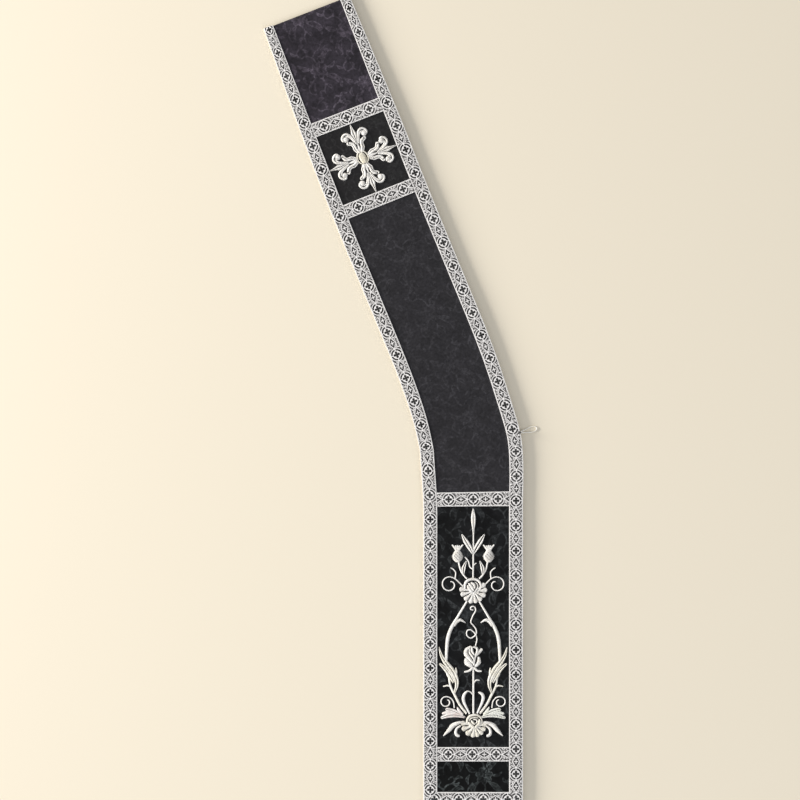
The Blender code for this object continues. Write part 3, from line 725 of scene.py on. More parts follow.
@dataclass
class DamaskFigure:
    """The brocade's figure: a peony with leaves and scrolls, in a half-drop repeat."""

    wide: float = 64.0
    tall: float = 92.0
    scale: float = 0.8
    # Distances are read this near to a stroke, and are `far` elsewhere
    reach: float = 9.0
    far: float = 30.0
    # Leaves with a half width above this have a vein
    veined: float = 1.9
    petals: int = 7
    petal_from: float = 5.0
    petal_to: float = 10.5
    petal_turn: float = 0.25
    petal_widths: tuple[float, ...] = (4.4, 9.0, 7.0)
    heart: Row = Row(((0, -0.6), (0, 0.6)), (5, 5))
    strokes: tuple[Row, ...] = (
        Row(((8, -11), (18, -17), (26, -27), (25, -39)), (1.2, 9, 8, 0.8)),
        Row(((-9, -11), (-18, -19), (-17, -32)), (1.2, 8, 0.8)),
        Row(((-12, 7), (-22, 10), (-31, 20)), (1.2, 8, 0.8)),
        Row(((10, 10), (14, 20), (23, 27), (31, 24)), (1, 7.5, 6, 0.8)),
        Row(((0, 12), (-3, 22), (-11, 29), (-21, 29), (-25, 37), (-19, 44)),
            (1.5, 1.5)),
        Row(((-3, 22), (3, 30), (12, 33), (16, 39), (11, 44), (6, 40)), (1.4, 1.4)),
        Row(((-19, 44), (-14, 48), (-9, 47)), (2, 6.5, 1)),
        Row(((-11, 29), (-9, 36), (-13, 42)), (1, 4.6, 0.6)),
        Row(((-25, 36), (-31, 38), (-34, 44)), (1, 4.2, 0.6)),
        Row(((12, 33), (19, 31), (23, 35)), (1, 4, 0.6)),
        Row(((0, -12), (2, -24), (-3, -34), (-2, -44)), (1.5, 1.3)),
        Row(((2, -24), (8, -30), (10, -38)), (1, 4.6, 0.6)),
        Row(((-24, 1), (-28, -6), (-26, -14)), (0.8, 4.6, 0.8)),
        Row(((29, 6), (22, 1), (14, 1)), (0.8, 5, 1)),
        Row(((-3, -34), (-10, -34), (-12, -42)), (0.8, 4.4, 0.8)),
        Row(((16, 39), (22, 44), (29, 42)), (1, 4, 0.6)),
        Row(((-19, -12), (-26, -22), (-25, -31), (-19, -35), (-16, -30)), (1.3, 1.3)),
        Row(((14, 20), (7, 20), (4, 14)), (0.8, 3.6, 0.6)),
    )

    def chains(self) -> list[tuple[np.ndarray, np.ndarray]]:
        """Lays out every filled stroke of one repeat.

        Returns:
            Points and half widths of each stroke.
        """
        rows = [(s.route, s.widths, 4 * (len(s.route) - 1)) for s in self.strokes]
        for petal in range(self.petals):
            angle = math.tau * petal / self.petals + self.petal_turn
            ends = tuple((r * math.cos(angle), r * math.sin(angle)) for r in (self.petal_from, self.petal_to))
            rows.append((ends, self.petal_widths, 3))
        rows.append((*self.heart, 1))
        made = []
        for route, widths, steps in rows:
            places = np.linspace(0.0, 1.0, steps + 1)
            halves = read_evenly(widths, places) / 2
            made.append((smooth_route(route, places) * self.scale, halves * self.scale))
        return made

    def repeats(self, points: np.ndarray) -> list[np.ndarray]:
        """Finds where places lie as seen from the nearest repeats, which stand in a half drop.

        Args:
            points: the places.

        Returns:
            The places from each of seven repeats.
        """
        wide, tall = self.wide * self.scale, self.tall * self.scale
        u = (points[:, 0] + wide / 2) % wide - wide / 2
        column = np.floor((points[:, 0] + wide / 2) / wide)
        v = (points[:, 1] + column * tall / 2 + tall / 2) % tall - tall / 2
        steps = [(0.0, 0.0), (0.0, 1.0), (0.0, -1.0), (1.0, 0.5), (1.0, -0.5), (-1.0, 0.5), (-1.0, -0.5)]
        return [np.stack((u + du * wide, v + dv * tall), axis=1) for du, dv in steps]

    def read(self, across: np.ndarray, along: np.ndarray) -> dict[str, np.ndarray]:
        """Distances to the figure's edge, negative inside, and to its leaves' veins.

        Args:
            across: places across the cloth.
            along: places along it.

        Returns:
            The values for each place, under the names that the damask material reads.
        """
        points = np.stack((across.ravel(), along.ravel()), axis=1)
        figure, vein = np.full((2, len(points)), self.far)
        for shifted in self.repeats(points):
            for route, halves in self.chains():
                low, high = route.min(0) - self.reach, route.max(0) + self.reach
                near = np.nonzero(((shifted > low) & (shifted < high)).all(1))[0]
                if not len(near):
                    continue
                p = shifted[near]
                bare = np.full(len(near), self.far)
                for start, end, r0, r1 in zip(route[:-1], route[1:], halves[:-1], halves[1:]):
                    step = end - start
                    t = np.clip(((p - start) @ step) / max(step @ step, 1e-9), 0.0, 1.0)
                    gap = np.hypot(*(p - start - t[:, None] * step).T)
                    figure[near] = np.minimum(figure[near], gap - (r0 + (r1 - r0) * t))
                    bare = np.minimum(bare, gap)
                if halves.max() > self.veined:
                    vein[near] = np.minimum(vein[near], bare)
        return {"figure": figure.reshape(across.shape), "vein": vein.reshape(across.shape)}


class Panel(NamedTuple):
    """One cut piece of brocade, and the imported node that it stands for."""

    name: str
    node: str
    start: float
    end: float
    finish: BlackDamask
    drift: Point


class CrossTape(NamedTuple):
    """A tape across the band: its middle along the band, its repeat and where one medallion lies."""

    name: str
    middle: float
    repeat: float
    first: float


CROSS_TAPES = (
    CrossTape("hem", 9.3, 31.9, -18.7),
    CrossTape("below_flowers", 68.0, 31.3, -1.2),
    CrossTape("above_flowers", 401.3, 32.2, 0.3),
    CrossTape("below_cross", 815.9, 31.5, 2.2),
    CrossTape("above_cross", 930.0, 31.7, -0.9),
)


@dataclass
class BrocadeWork:
    """The brocade: five panels on the upper half, and the hidden half's cloth."""

    band: Band
    bottom: float = 3.55
    top: float = 5.6
    side_inset: float = 0.6
    edge: tuple[Point, ...] = ((0.3, 0.0), (0.0, 0.5), (0.0, 1.2), (0.15, 1.75), (0.5, 2.05))
    fine: float = 1.25
    coarse: float = 2.6
    turn_steps: int = 6
    gap: float = 0.3
    hem_inset: float = 1.0
    # The panels meet under the middles of the cross tapes
    joins: tuple[float, ...] = (0.0, *(tape.middle for tape in CROSS_TAPES[1:]), 1075.0)
    figure: DamaskFigure = field(default_factory=DamaskFigure)

    def panels(self) -> list[Panel]:
        """The five panels; each was cut from another place of the cloth, and some from another bolt.

        Returns:
            The panels, from the hem up.
        """
        # Each damask's second colour is the figure's, partly painted sheen, and its third a painted highlight
        deep = BlackDamask("black_silk_damask", "#101112", "#2A2C2D", "#3A3D3E",
                           sheen=0.02, gloss=0.13, cloud=0.5)
        soft = BlackDamask("charcoal_silk_damask", "#262528", "#302F32", "#39383C")
        plum = BlackDamask("plum_black_silk_damask", "#2B272E", "#443E47", "#524C56", cloud=0.35)
        even = BlackDamask("plain_black_silk_damask", "#1D1C1D", "#252525", "#302F30")
        dark = BlackDamask("raven_silk_damask", "#0C0D0D", "#2B2F2F", "#535959",
                           sheen=0.012, gloss=0.1, cloud=0.5)
        rows = (
            ("brocade_lower", "panel_lower", dark, (-14.4, -39.9)),
            ("brocade_flower", "panel_flower", deep, (9.0, 40.0)),
            ("brocade_neck", "panel_neck", soft, (-6.0, 10.0)),
            ("brocade_cross", "panel_cross", even, (20.0, 5.0)),
            ("brocade_upper", "panel_upper", plum, (12.0, 30.0)),
        )
        made = []
        for index, (name, node, finish, drift) in enumerate(rows):
            start = self.joins[index] + (self.gap / 2 if index else self.hem_inset)
            end = self.joins[index + 1] - (self.gap / 2 if index < len(rows) - 1 else 0.0)
            made.append(Panel(name, node, start, end, finish, drift))
        return made

    def section(self, outer: np.ndarray, pitch: float) -> tuple[np.ndarray, np.ndarray]:
        """Across places and heights round the cloth's section, for each half width.

        Args:
            outer: half widths, one for each station.
            pitch: distance between points on the top.

        Returns:
            Two arrays with a row for each station.
        """
        half = outer - self.side_inset
        rim = np.array(self.edge)
        inner = half[:, None] - rim[:, 0]
        count = int((2 * half.max()) / pitch)
        middle = np.linspace(-1.0, 1.0, count)[1:-1] * inner[:, -1:]
        across = np.hstack((-inner, middle, inner[:, ::-1]))
        rise = self.bottom + rim[:, 1]
        height = np.concatenate((rise, np.full(count - 2, self.top), rise[::-1]))
        return across, np.broadcast_to(height, across.shape)

    def cloth(
        self, name: str, start: float, end: float, pitch: float, half: Half, drift: Point
    ) -> Mesh:
        """A closed thin cloth between two places along the band.

        Args:
            name: the mesh's name.
            start: its lower edge.
            end: its upper edge; at the fold it turns down round the folded edge.
            pitch: distance between its points.
            half: the half that it belongs to.
            drift: where in the figure's repeat the cloth was cut.

        Returns:
            The mesh, with the band map and the figure's values.
        """
        stations = np.linspace(start, end, int((end - start) / pitch) + 1)
        turns = np.zeros(len(stations))
        if end >= self.band.fold_start:
            turned = np.radians(np.linspace(0.0, 90.0, self.turn_steps + 1)[1:])
            stations = np.concatenate((stations, np.full(self.turn_steps, self.band.fold_start)))
            turns = np.concatenate((turns, turned))
        across, height = self.section(self.band.outer(stations), pitch)
        along = np.repeat(stations[:, None], across.shape[1], axis=1)
        rings = np.stack([
            self.band.fold_over(along[i], across[i], height[i], turns[i], half) for i in range(len(stations))
        ])
        shown = along + (turns[:, None] * (height - self.band.fold_height))
        uv = np.stack((UV_MIDDLE + across / UV_SPAN, shown / UV_SPAN), axis=-1)
        fields = self.figure.read(across + drift[0], shown + drift[1])
        return make_mesh(name, rings, ring_faces(0, len(rings), rings.shape[1]), uv, fields)

    def build(self) -> None:
        """Makes every piece of brocade."""
        under = self.cloth(
            "under_brocade", self.hem_inset, self.band.fold_start, self.coarse, Half.UNDER, (0.0, 0.0)
        )
        # Its third colour is a painted highlight on the figure's edges
        finish = BlackDamask("black_silk_damask_back", "#17191C", "#212427", "#36393C")
        hidden = settle("under_brocade", under, finish.material(), ["under_half"])
        self.band.area(0.0, self.band.length)
        for panel in self.panels():
            mesh = self.cloth(panel.name, panel.start, panel.end, self.fine, Half.UPPER, panel.drift)
            piece = settle(panel.name, mesh, panel.finish.material(), [panel.node])
            area = self.band.area(panel.start, panel.end)
            wide = 2 * float(self.band.outer(np.linspace(panel.start, panel.end, 60)).max()) * MM


@dataclass
class GalloonWork:
    """The galloon: two side tapes, a hem tape and four cross tapes on each half."""

    band: Band
    material: Material
    repeat: float = 32.0
    bottom: float = 5.66
    top: float = 6.9
    edge_round: float = 0.35
    chamfer: float = 0.3
    fall: float = 0.18
    selvedge_rise: float = 0.12
    selvedge_place: float = 0.9
    selvedge_reach: float = 0.07
    pitch: float = 1.6
    columns: int = 12
    turn_steps: int = 6
    stitch: float = 3.2
    dimple: float = 0.10
    dimple_place: float = 0.93
    dimple_reach: float = 0.1
    gap: float = 0.3
    corner: float = 0.2
    mitre_gap: float = 0.24
    mitre_start: float = 0.6
    # Whole repeats added on the cross tapes, so that their place in the repeat is never negative
    spare_repeats: float = 8.0
    # Where along the band each side tape's medallions lie: (millimetres, number of the medallion)
    left_marks: tuple[Point, ...] = (
        (21.6, 0), (244.4, 7), (440.2, 13), (484, 14), (515.5, 15), (618.3, 18), (1073.7, 32)
    )
    right_marks: tuple[Point, ...] = (
        (42.4, 0), (398.8, 11), (460.1, 13), (480, 14), (631.7, 19), (1061.8, 32)
    )

    def phase(self, along: np.ndarray, marks: Sequence[Point]) -> np.ndarray:
        """Reads how far along the woven repeat a side tape is.

        Args:
            along: places along the band.
            marks: rows of a medallion's place and its number.

        Returns:
            Millimetres along the repeat at each place.
        """
        rows = np.array(marks)
        rows = np.vstack((2 * rows[0] - rows[1], rows, 2 * rows[-1] - rows[-2]))
        return (np.interp(along, rows[:, 0], rows[:, 1]) + 1.0) * self.repeat

    def section(self) -> tuple[np.ndarray, np.ndarray]:
        """Places from -1 to 1 across a tape, and heights, round its section.

        Returns:
            The two arrays: a flat underside's ends, then the sides and the slightly crowned top.
        """
        share = np.linspace(-1.0, 1.0, self.columns)
        selvedge = np.exp(-((np.abs(share) - self.selvedge_place) / self.selvedge_reach) ** 2)
        crown = self.top - self.fall * share ** 2 + self.selvedge_rise * selvedge
        rim = 1.0 - self.edge_round / (self.band.tape_width / 2)
        places = np.concatenate(([-rim, -1.0, -1.0], share[1:-1] * rim, [1.0, 1.0, rim]))
        side = np.array((self.bottom, self.bottom + self.chamfer, self.top - self.chamfer))
        heights = np.concatenate((side, crown[1:-1], side[::-1]))
        return places, heights

    def scallop(self, run: np.ndarray, places: np.ndarray) -> np.ndarray:
        """How far the sewing pulls the tape's edges down, stitch by stitch."""
        edge = np.exp(-((np.abs(places) - self.dimple_place) / self.dimple_reach) ** 2)
        return -self.dimple * edge * (0.5 + 0.5 * np.cos(math.tau * run / self.stitch))

    def side_tape(self, side: int, half: Half) -> Mesh:
        """A side tape, mitred at the hem and turned over the folded edge.

        Args:
            side: -1 on the left and 1 on the right.
            half: the half that it belongs to.

        Returns:
            Its mesh.
        """
        mitre = self.band.cross_tape_width + self.gap / 2
        start = mitre + self.mitre_start
        plain = np.linspace(start, self.band.fold_start, int((self.band.fold_start - start) / self.pitch))
        outer_along = np.concatenate(([self.corner], plain, np.full(self.turn_steps, self.band.fold_start)))
        inner_along = np.concatenate(([mitre], plain, np.full(self.turn_steps, self.band.fold_start)))
        turns = np.concatenate((
            np.zeros(len(plain) + 1), np.radians(np.linspace(0.0, 90.0, self.turn_steps + 1)[1:])
        ))
        places, heights = self.section()
        marks = self.left_marks if side < 0 else self.right_marks
        rings, maps = [], []
        for out, into, turn in zip(outer_along, inner_along, turns):
            outer, inner = float(self.band.outer(out)), float(self.band.inner(into))
            middle, reach = (outer + inner) / 2, (outer - inner) / 2
            share = (1.0 - places) / 2
            along = out + (into - out) * share
            height = heights + self.scallop(along, places)
            rings.append(self.band.fold_over(along, side * (middle + reach * places), height, turn, half))
            run = self.phase(along + turn * (height - self.band.fold_height), marks)
            width = places * self.band.tape_width / 2
            maps.append(np.stack((UV_MIDDLE + side * width / UV_SPAN, run / UV_SPAN), axis=-1))
        points = np.array(rings)
        return make_mesh("side_tape", points, ring_faces(0, len(points), points.shape[1]), np.array(maps))

    def reach(self, tape: CrossTape, along: float) -> float:
        """Half of a cross tape's length at a place along the band.

        Args:
            tape: the tape; the hem tape's ends are mitred.
            along: the place.

        Returns:
            The half length, which leaves a gap to the side tapes.
        """
        if tape.name == "hem":
            slope = self.band.tape_width / self.band.cross_tape_width
            return self.band.half - along * slope - self.mitre_gap
        return float(self.band.inner(along)) - self.gap

    def cross_tape(self, tape: CrossTape, half: Half) -> Mesh:
        """A tape across the band.

        Args:
            tape: its place and its repeat.
            half: the half that it belongs to.

        Returns:
            Its mesh.
        """
        places, heights = self.section()
        along = tape.middle + self.band.cross_tape_width / 2 * places
        reach = np.array([self.reach(tape, a) for a in along])
        rings, maps = [], []
        for share in np.linspace(-1.0, 1.0, int(2 * reach.max() / self.pitch)):
            across = reach * share
            height = heights + self.scallop(across, places)
            rings.append(self.band.place(along, across, height, half))
            run = ((across - tape.first) / tape.repeat + self.spare_repeats) * self.repeat
            width = places * self.band.tape_width / 2
            maps.append(np.stack((UV_MIDDLE + width / UV_SPAN, run / UV_SPAN), axis=-1))
        points = np.array(rings)
        return make_mesh("cross_tape", points, ring_faces(0, len(points), points.shape[1]), np.array(maps))

    def finish(self, mesh: Mesh, name: str, width: float, length: float, half: Half) -> None:
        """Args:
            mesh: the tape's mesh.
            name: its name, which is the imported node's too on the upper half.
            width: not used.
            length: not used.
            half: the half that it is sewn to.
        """
        upper = half is Half.UPPER
        prefix = "galloon_" if upper else "under_galloon_"
        piece = settle(prefix + name, mesh, self.material, [f"tape_{name}"] if upper else [])

    def build(self, half: Half) -> None:
        """Makes the tapes of one half.

        Args:
            half: the half.
        """
        for side, word in ((-1, "left"), (1, "right")):
            self.finish(self.side_tape(side, half), word, self.band.tape_width, self.band.length, half)
        for tape in CROSS_TAPES:
            length = 2 * self.reach(tape, tape.middle)
            if tape.name == "hem":
                length = 2 * self.band.half - self.band.tape_width
            self.finish(self.cross_tape(tape, half), tape.name, self.band.cross_tape_width, length, half)


@dataclass(frozen=True)
class ThreadTree:
    """Geometry Nodes that lay one arched thread at each point of a mesh.

    The points carry `half`, the thread's half length, and `crown`, its height, both in
    millimetres, and `turn`, its direction on the table in radians.
    """

    name: str
    radius: float
    sides: int = 4
    spans: int = 6
    seed: int = 7
    unevenness: float = 0.07
    # The arch's powers: squarer on top as the first grows, steeper at its feet as the second falls
    arch_square: float = 2.4
    arch_round: float = 0.6

    def build(self, material: Material) -> NodeTree:
        """Builds the tree, with the thread's radius and unevenness as its named inputs.

        Args:
            material: the threads' material.

        Returns:
            The tree.
        """
        tree = bpy.data.node_groups.new(self.name, "GeometryNodeTree")
        tree.interface.new_socket("Geometry", in_out="INPUT", socket_type="NodeSocketGeometry")
        tree.interface.new_socket("Thread radius", in_out="INPUT", socket_type="NodeSocketFloat")
        tree.interface.new_socket("Unevenness", in_out="INPUT", socket_type="NodeSocketFloat")
        tree.interface.new_socket("Geometry", in_out="OUTPUT", socket_type="NodeSocketGeometry")
        node = partial(add_node, tree)
        given = node("NodeGroupInput", take="node")
        line = node("GeometryNodeCurvePrimitiveLine", (-MM, 0.0, 0.0), (MM, 0.0, 0.0))
        line = node("GeometryNodeResampleCurve", line, None, self.spans + 1)
        place = node("SeparateXYZ", node("GeometryNodeInputPosition"), take="node")
        share = node("Math ABSOLUTE", node("Math MULTIPLY", place.outputs["X"], 1 / MM))
        fall = node("Math SUBTRACT", 1.0, node("Math POWER", share, self.arch_square))
        arch = node("Math POWER", node("Math MAXIMUM", fall, 0.0), self.arch_round)
        arch = node("Math MULTIPLY", arch, MM)
        lift = node("CombineXYZ", 0.0, 0.0, arch)
        line = node("GeometryNodeSetPosition", line, None, None, lift)
        profile = node("GeometryNodeCurvePrimitiveCircle", self.sides, take="node")
        tree.links.new(given.outputs["Thread radius"], profile.inputs["Radius"])
        thread = node("GeometryNodeCurveToMesh", line, profile.outputs["Curve"], take="node")
        thread.inputs["Fill Caps"].default_value = True
        words = ("half", "crown", "turn")
        half, crown, turn = (node("GeometryNodeInputNamedAttribute", w, data_type="FLOAT") for w in words)
        random = node("FunctionNodeRandomValue", data_type="FLOAT", take="node")
        random.inputs["Seed"].default_value = self.seed
        random.inputs[2].default_value = -1.0
        random.inputs[3].default_value = 1.0
        uneven = node("Math MULTIPLY_ADD", random.outputs[1], given.outputs["Unevenness"], 1.0)
        scale = node("CombineXYZ", half, 1.0, node("Math MULTIPLY", crown, uneven))
        turned = node("FunctionNodeEulerToRotation", node("CombineXYZ", 0.0, 0.0, turn))
        laid = node("GeometryNodeInstanceOnPoints", given.outputs["Geometry"], take="node")
        tree.links.new(thread.outputs["Mesh"], laid.inputs["Instance"])
        tree.links.new(turned, laid.inputs["Rotation"])
        tree.links.new(scale, laid.inputs["Scale"])
        real = node("GeometryNodeRealizeInstances", laid.outputs["Instances"])
        finished = node("GeometryNodeSetMaterial", real, take="node")
        finished.inputs["Material"].default_value = material
        node("NodeGroupOutput", finished.outputs["Geometry"], take="node")
        return tree

    def lay(
        self, points: np.ndarray, half: np.ndarray, crown: np.ndarray, turn: np.ndarray,
        material: Material,
    ) -> Mesh:
        """Lays the threads and turns them into a plain mesh.

        Args:
            points: the middle of each thread's foot, in metres.
            half: half lengths, in millimetres.
            crown: heights, in millimetres.
            turn: directions, in radians.
            material: the threads' material.

        Returns:
            The mesh of all threads.
        """
        mesh = bpy.data.meshes.new("thread_places")
        mesh.from_pydata(points.tolist(), [], [])
        for key, values in (("half", half), ("crown", crown), ("turn", turn)):
            mesh.attributes.new(key, "FLOAT", "POINT").data.foreach_set("value", values.astype(np.float32))
        guide = bpy.data.objects.new("thread_places", mesh)
        bpy.context.scene.collection.objects.link(guide)
        modifier = guide.modifiers.new("threads", "NODES")
        modifier.node_group = self.build(material)
        values = {"Thread radius": self.radius * MM, "Unevenness": self.unevenness}
        for item in modifier.node_group.interface.items_tree:
            if item.in_out == "INPUT" and item.name in values:
                modifier[item.identifier] = values[item.name]
        bpy.context.view_layer.update()
        laid = bpy.data.meshes.new_from_object(guide.evaluated_get(bpy.context.evaluated_depsgraph_get()))
        bpy.data.objects.remove(guide)
        return laid


@dataclass(frozen=True)
class Satin:
    """One padded satin band: its route from root to tip, its widths, and how it is laid.

    `split` parts it into two bands with a groove of that width, `base` lifts it over others,
    and `blunt` rounds its tip, as a circle does at `roundness` 2 and more squarely above.
    """

    route: tuple[Point, ...]
    widths: tuple[float, ...]
    rise: float = 1.3
    split: float = 0.0
    base: float = 0.0
    blunt: bool = False
    roundness: float = 2.0
    lean: float = 24.0


@dataclass
class Stitchery:
    """Collects the padding and the threads of one embroidered motif, and makes it one piece."""

    band: Band
    name: str
    nodes: tuple[str, ...]
    material: Material
    place: Callable[[np.ndarray, np.ndarray], tuple[np.ndarray, np.ndarray]] = lambda u, v: (u, v)
    foot: float = 5.62
    # Threads lie a little nearer than they are thick, so that no padding shows between them
    pitch: float = 0.62
    threads: ThreadTree = ThreadTree("satin_threads", THREAD_RADIUS)
    step: float = 1.1
    padding: float = 0.93
    sectors: int = 24
    least_crown: float = 0.45
    full_width: float = 5.0
    # Bands narrower than this on either side of their middle line carry no thread
    narrowest: float = 0.35
    # Split bands wider than this have their full groove
    grooved: float = 4.0
    # In a blunt band the threads lean fully until one part in this many is left
    lean_fade: float = 2.5
    dome: tuple[Point, ...] = (
        (-1.0, 0.0), (-0.94, 0.31), (-0.8, 0.59), (-0.5, 0.88),
        (0.0, 1.0), (0.5, 0.88), (0.8, 0.59), (0.94, 0.31), (1.0, 0.0),
    )

    def __post_init__(self) -> None:
        """Starts with nothing sewn."""
        self.points: list[np.ndarray] = []
        self.faces: list[list[int]] = []
        self.count = 0
        self.feet: list[np.ndarray] = []
        self.laid: list[np.ndarray] = []

    def put(self, u: np.ndarray, v: np.ndarray, height: np.ndarray | float) -> np.ndarray:
        """Row-frame points of places in the motif's own plane."""
        across, along = self.place(u, v)
        return self.band.place(along, across, height)

    def sample(self, satin: Satin, spacing: float) -> tuple[np.ndarray, np.ndarray, np.ndarray]:
        """Reads a band at even distances.

        Args:
            satin: the band.
            spacing: the distance between readings.

        Returns:
            Its points, its unit directions and its full widths there.
        """
        fine = np.linspace(0.0, 1.0, 16 * (len(satin.route) - 1) + 1)
        points = smooth_route(satin.route, fine)
        run = np.concatenate(([0.0], np.cumsum(np.hypot(*np.diff(points, axis=0).T))))
        count = max(int(run[-1] / spacing), 3)
        marks = np.linspace(0.0, run[-1], count + 1)
        places = np.interp(marks, run, fine)
        points = smooth_route(satin.route, places)
        widths = read_evenly(satin.widths, places)
        if satin.blunt:
            end = satin.widths[-1] / 2
            left = np.clip((run[-1] - marks) / end, 0.0, 1.0)
            full = np.maximum(1.0 - (1.0 - left) ** satin.roundness, 0.02)
            widths = widths * full ** (1.0 / satin.roundness)
        tangents = np.gradient(points, axis=0)
        tangents /= np.maximum(np.hypot(*tangents.T), 1e-6)[:, None]
        return points, tangents, widths

    def crown(self, widths: np.ndarray, rise: float) -> np.ndarray:
        """Height of the padding for a band's widths: narrow bands are padded less."""
        return rise * np.minimum(1.0, self.least_crown + widths / self.full_width)

    def band_of(self, satin: Satin) -> None:
        """Sews one band: padding below, threads across it on top.

        Args:
            satin: the band.
        """
        shifts, share = ((-0.25, 0.25), 0.5) if satin.split else ((0.0,), 1.0)
        for shift in shifts:
            for spacing, kind in ((self.step, "padding"), (self.pitch, "threads")):
                points, tangents, widths = self.sample(satin, spacing)
                normals = np.stack((tangents[:, 1], -tangents[:, 0]), axis=1)
                groove = satin.split * np.minimum(1.0, widths / self.grooved)
                points = points + normals * (shift * (widths + groove))[:, None]
                widths = (widths - groove) * share
                crown = self.crown(widths / share, satin.rise)
                if kind == "padding":
                    self.pad(points, normals, widths / 2, crown * self.padding, satin.base)
                else:
                    self.stitch(points, tangents, widths / 2, crown, satin)

    def add_rings(self, rings: np.ndarray) -> None:
        """Adds a closed padded form, lofted through rings."""
        self.faces += ring_faces(self.count, len(rings), rings.shape[1])
        self.points.append(rings.reshape(-1, 3))
        self.count += rings.shape[0] * rings.shape[1]

    def aim(
        self, u: np.ndarray, v: np.ndarray, ways: np.ndarray, base: float
    ) -> tuple[np.ndarray, np.ndarray]:
        """Finds where threads stand on the table, and which way the motif's directions point there.

        Args:
            u: places in the motif's own plane.
            v: the same places, along it.
            ways: a unit direction for each, or one for all.
            base: how far they are lifted over others.

        Returns:
            The threads' feet, and the directions' headings in radians.
        """
        feet = self.put(u, v, self.foot + base)
        ahead = self.put(u + ways[..., 0], v + ways[..., 1], self.foot + base)
        return feet, np.arctan2(ahead[:, 1] - feet[:, 1], ahead[:, 0] - feet[:, 0])

    def pad(
        self, points: np.ndarray, normals: np.ndarray, half: np.ndarray, crown: np.ndarray, base: float
    ) -> None:
        """Adds the padding under a band: a domed form along its route.

        Args:
            points: the band's middle line.
            normals: unit directions across it.
            half: half widths.
            crown: heights of the padding.
            base: how far it is lifted over others.
        """
        dome = np.array(self.dome)
        u = points[:, :1] + normals[:, :1] * half[:, None] * dome[:, 0]
        v = points[:, 1:] + normals[:, 1:] * half[:, None] * dome[:, 0]
        self.add_rings(self.put(u, v, self.foot + base + crown[:, None] * dome[:, 1]))

    def stitch(
        self, points: np.ndarray, tangents: np.ndarray, half: np.ndarray, crown: np.ndarray, satin: Satin
    ) -> None:
        """Adds the threads of a band, which lean towards its tip and turn straight at a round one.

        Args:
            points: the band's middle line.
            tangents: unit directions along it.
            half: half widths.
            crown: heights of the threads.
            satin: the band.
        """
        feet, heading = self.aim(points[:, 0], points[:, 1], tangents, satin.base)
        lean = np.full(len(points), math.radians(satin.lean))
        if satin.blunt:
            lean *= np.clip(np.linspace(self.lean_fade, 0.0, len(points)), 0.0, 1.0)
        keep = half > self.narrowest
        reach = np.maximum(half - self.threads.radius * 0.7, 0.2) / np.cos(lean)
        self.feet.append(feet[keep])
        self.laid.append(np.stack((reach, crown, heading + math.pi / 2 - lean), axis=1)[keep])

    def disc(
        self, centre: Point, radius: float, rise: float, base: float, degrees: float
    ) -> None:
        """Sews a round padded disc, with parallel threads across it.

        Args:
            centre: its middle.
            radius: its radius.
            rise: its height.
            base: how far it is lifted over others.
            degrees: the threads' direction.
        """
        around = np.linspace(0.0, math.tau, self.sectors, endpoint=False)
        tilt = np.linspace(0.0, 1.45, 6)[:, None]
        reach = radius * np.cos(tilt)
        height = self.foot + base + rise * self.padding * np.sin(tilt)
        u, v = centre[0] + reach * np.cos(around), centre[1] + reach * np.sin(around)
        self.add_rings(self.put(u, v, height))
        marks = np.arange(-radius + self.pitch / 2, radius, self.pitch)
        way = np.array((math.cos(math.radians(degrees)), math.sin(math.radians(degrees))))
        feet, heading = self.aim(centre[0] + marks * way[0], centre[1] + marks * way[1], way, base)
        part = np.sqrt(np.maximum(1.0 - (marks / radius) ** 2, 0.05))
        self.feet.append(feet)
        self.laid.append(np.stack((radius * part, rise * part, heading + math.pi / 2), axis=1))

    def sew(self, *satins: Satin) -> None:
        """Sews several bands."""
        for satin in satins:
            self.band_of(satin)

    def build(self) -> Object:
        """Returns:
            The piece.
        """
        padding = make_mesh("padding", np.concatenate(self.points), self.faces, sharp=50.0)
        threads = self.threads.lay(np.concatenate(self.feet), *np.concatenate(self.laid).T, self.material)
        threads.shade_smooth()
        mesh = join_meshes(self.name, (padding, threads))
        piece = settle(self.name, mesh, self.material, self.nodes)
        return piece


def join_meshes(name: str, meshes: Sequence[Mesh]) -> Mesh:
    """Joins meshes of one material into a new one.

    Args:
        name: the new mesh's name.
        meshes: the meshes.

    Returns:
        The new mesh, shaded smooth with its sharp edges kept.
    """
    points, sizes, corners, sharp = [], [], [], []
    first = 0
    for mesh in meshes:
        co = np.zeros(len(mesh.vertices) * 3, np.float32)
        mesh.vertices.foreach_get("co", co)
        index = np.zeros(len(mesh.loops), np.int32)
        mesh.loops.foreach_get("vertex_index", index)
        total = np.zeros(len(mesh.polygons), np.int32)
        mesh.polygons.foreach_get("loop_total", total)
        points.append(co.reshape(-1, 3))
        corners.append(index + first)
        sizes.append(total)
        first += len(mesh.vertices)
    joined = bpy.data.meshes.new(name)
    loops, totals = np.concatenate(corners), np.concatenate(sizes)
    joined.vertices.add(first)
    joined.vertices.foreach_set("co", np.concatenate(points).ravel())
    joined.loops.add(len(loops))
    joined.loops.foreach_set("vertex_index", loops)
    joined.polygons.add(len(totals))
    joined.polygons.foreach_set("loop_start", np.concatenate(([0], np.cumsum(totals)[:-1])).astype(np.int32))
    joined.update(calc_edges=True)
    joined.validate()
    joined.shade_smooth()
    joined.set_sharp_from_angle(angle=math.radians(60.0))
    return joined


def flipped(satin: Satin, side: int) -> Satin:
    """The band on one side of the centre line; -1 turns it over to the left."""
    return replace(satin, route=tuple((u * side, v) for u, v in satin.route), lean=satin.lean * side)


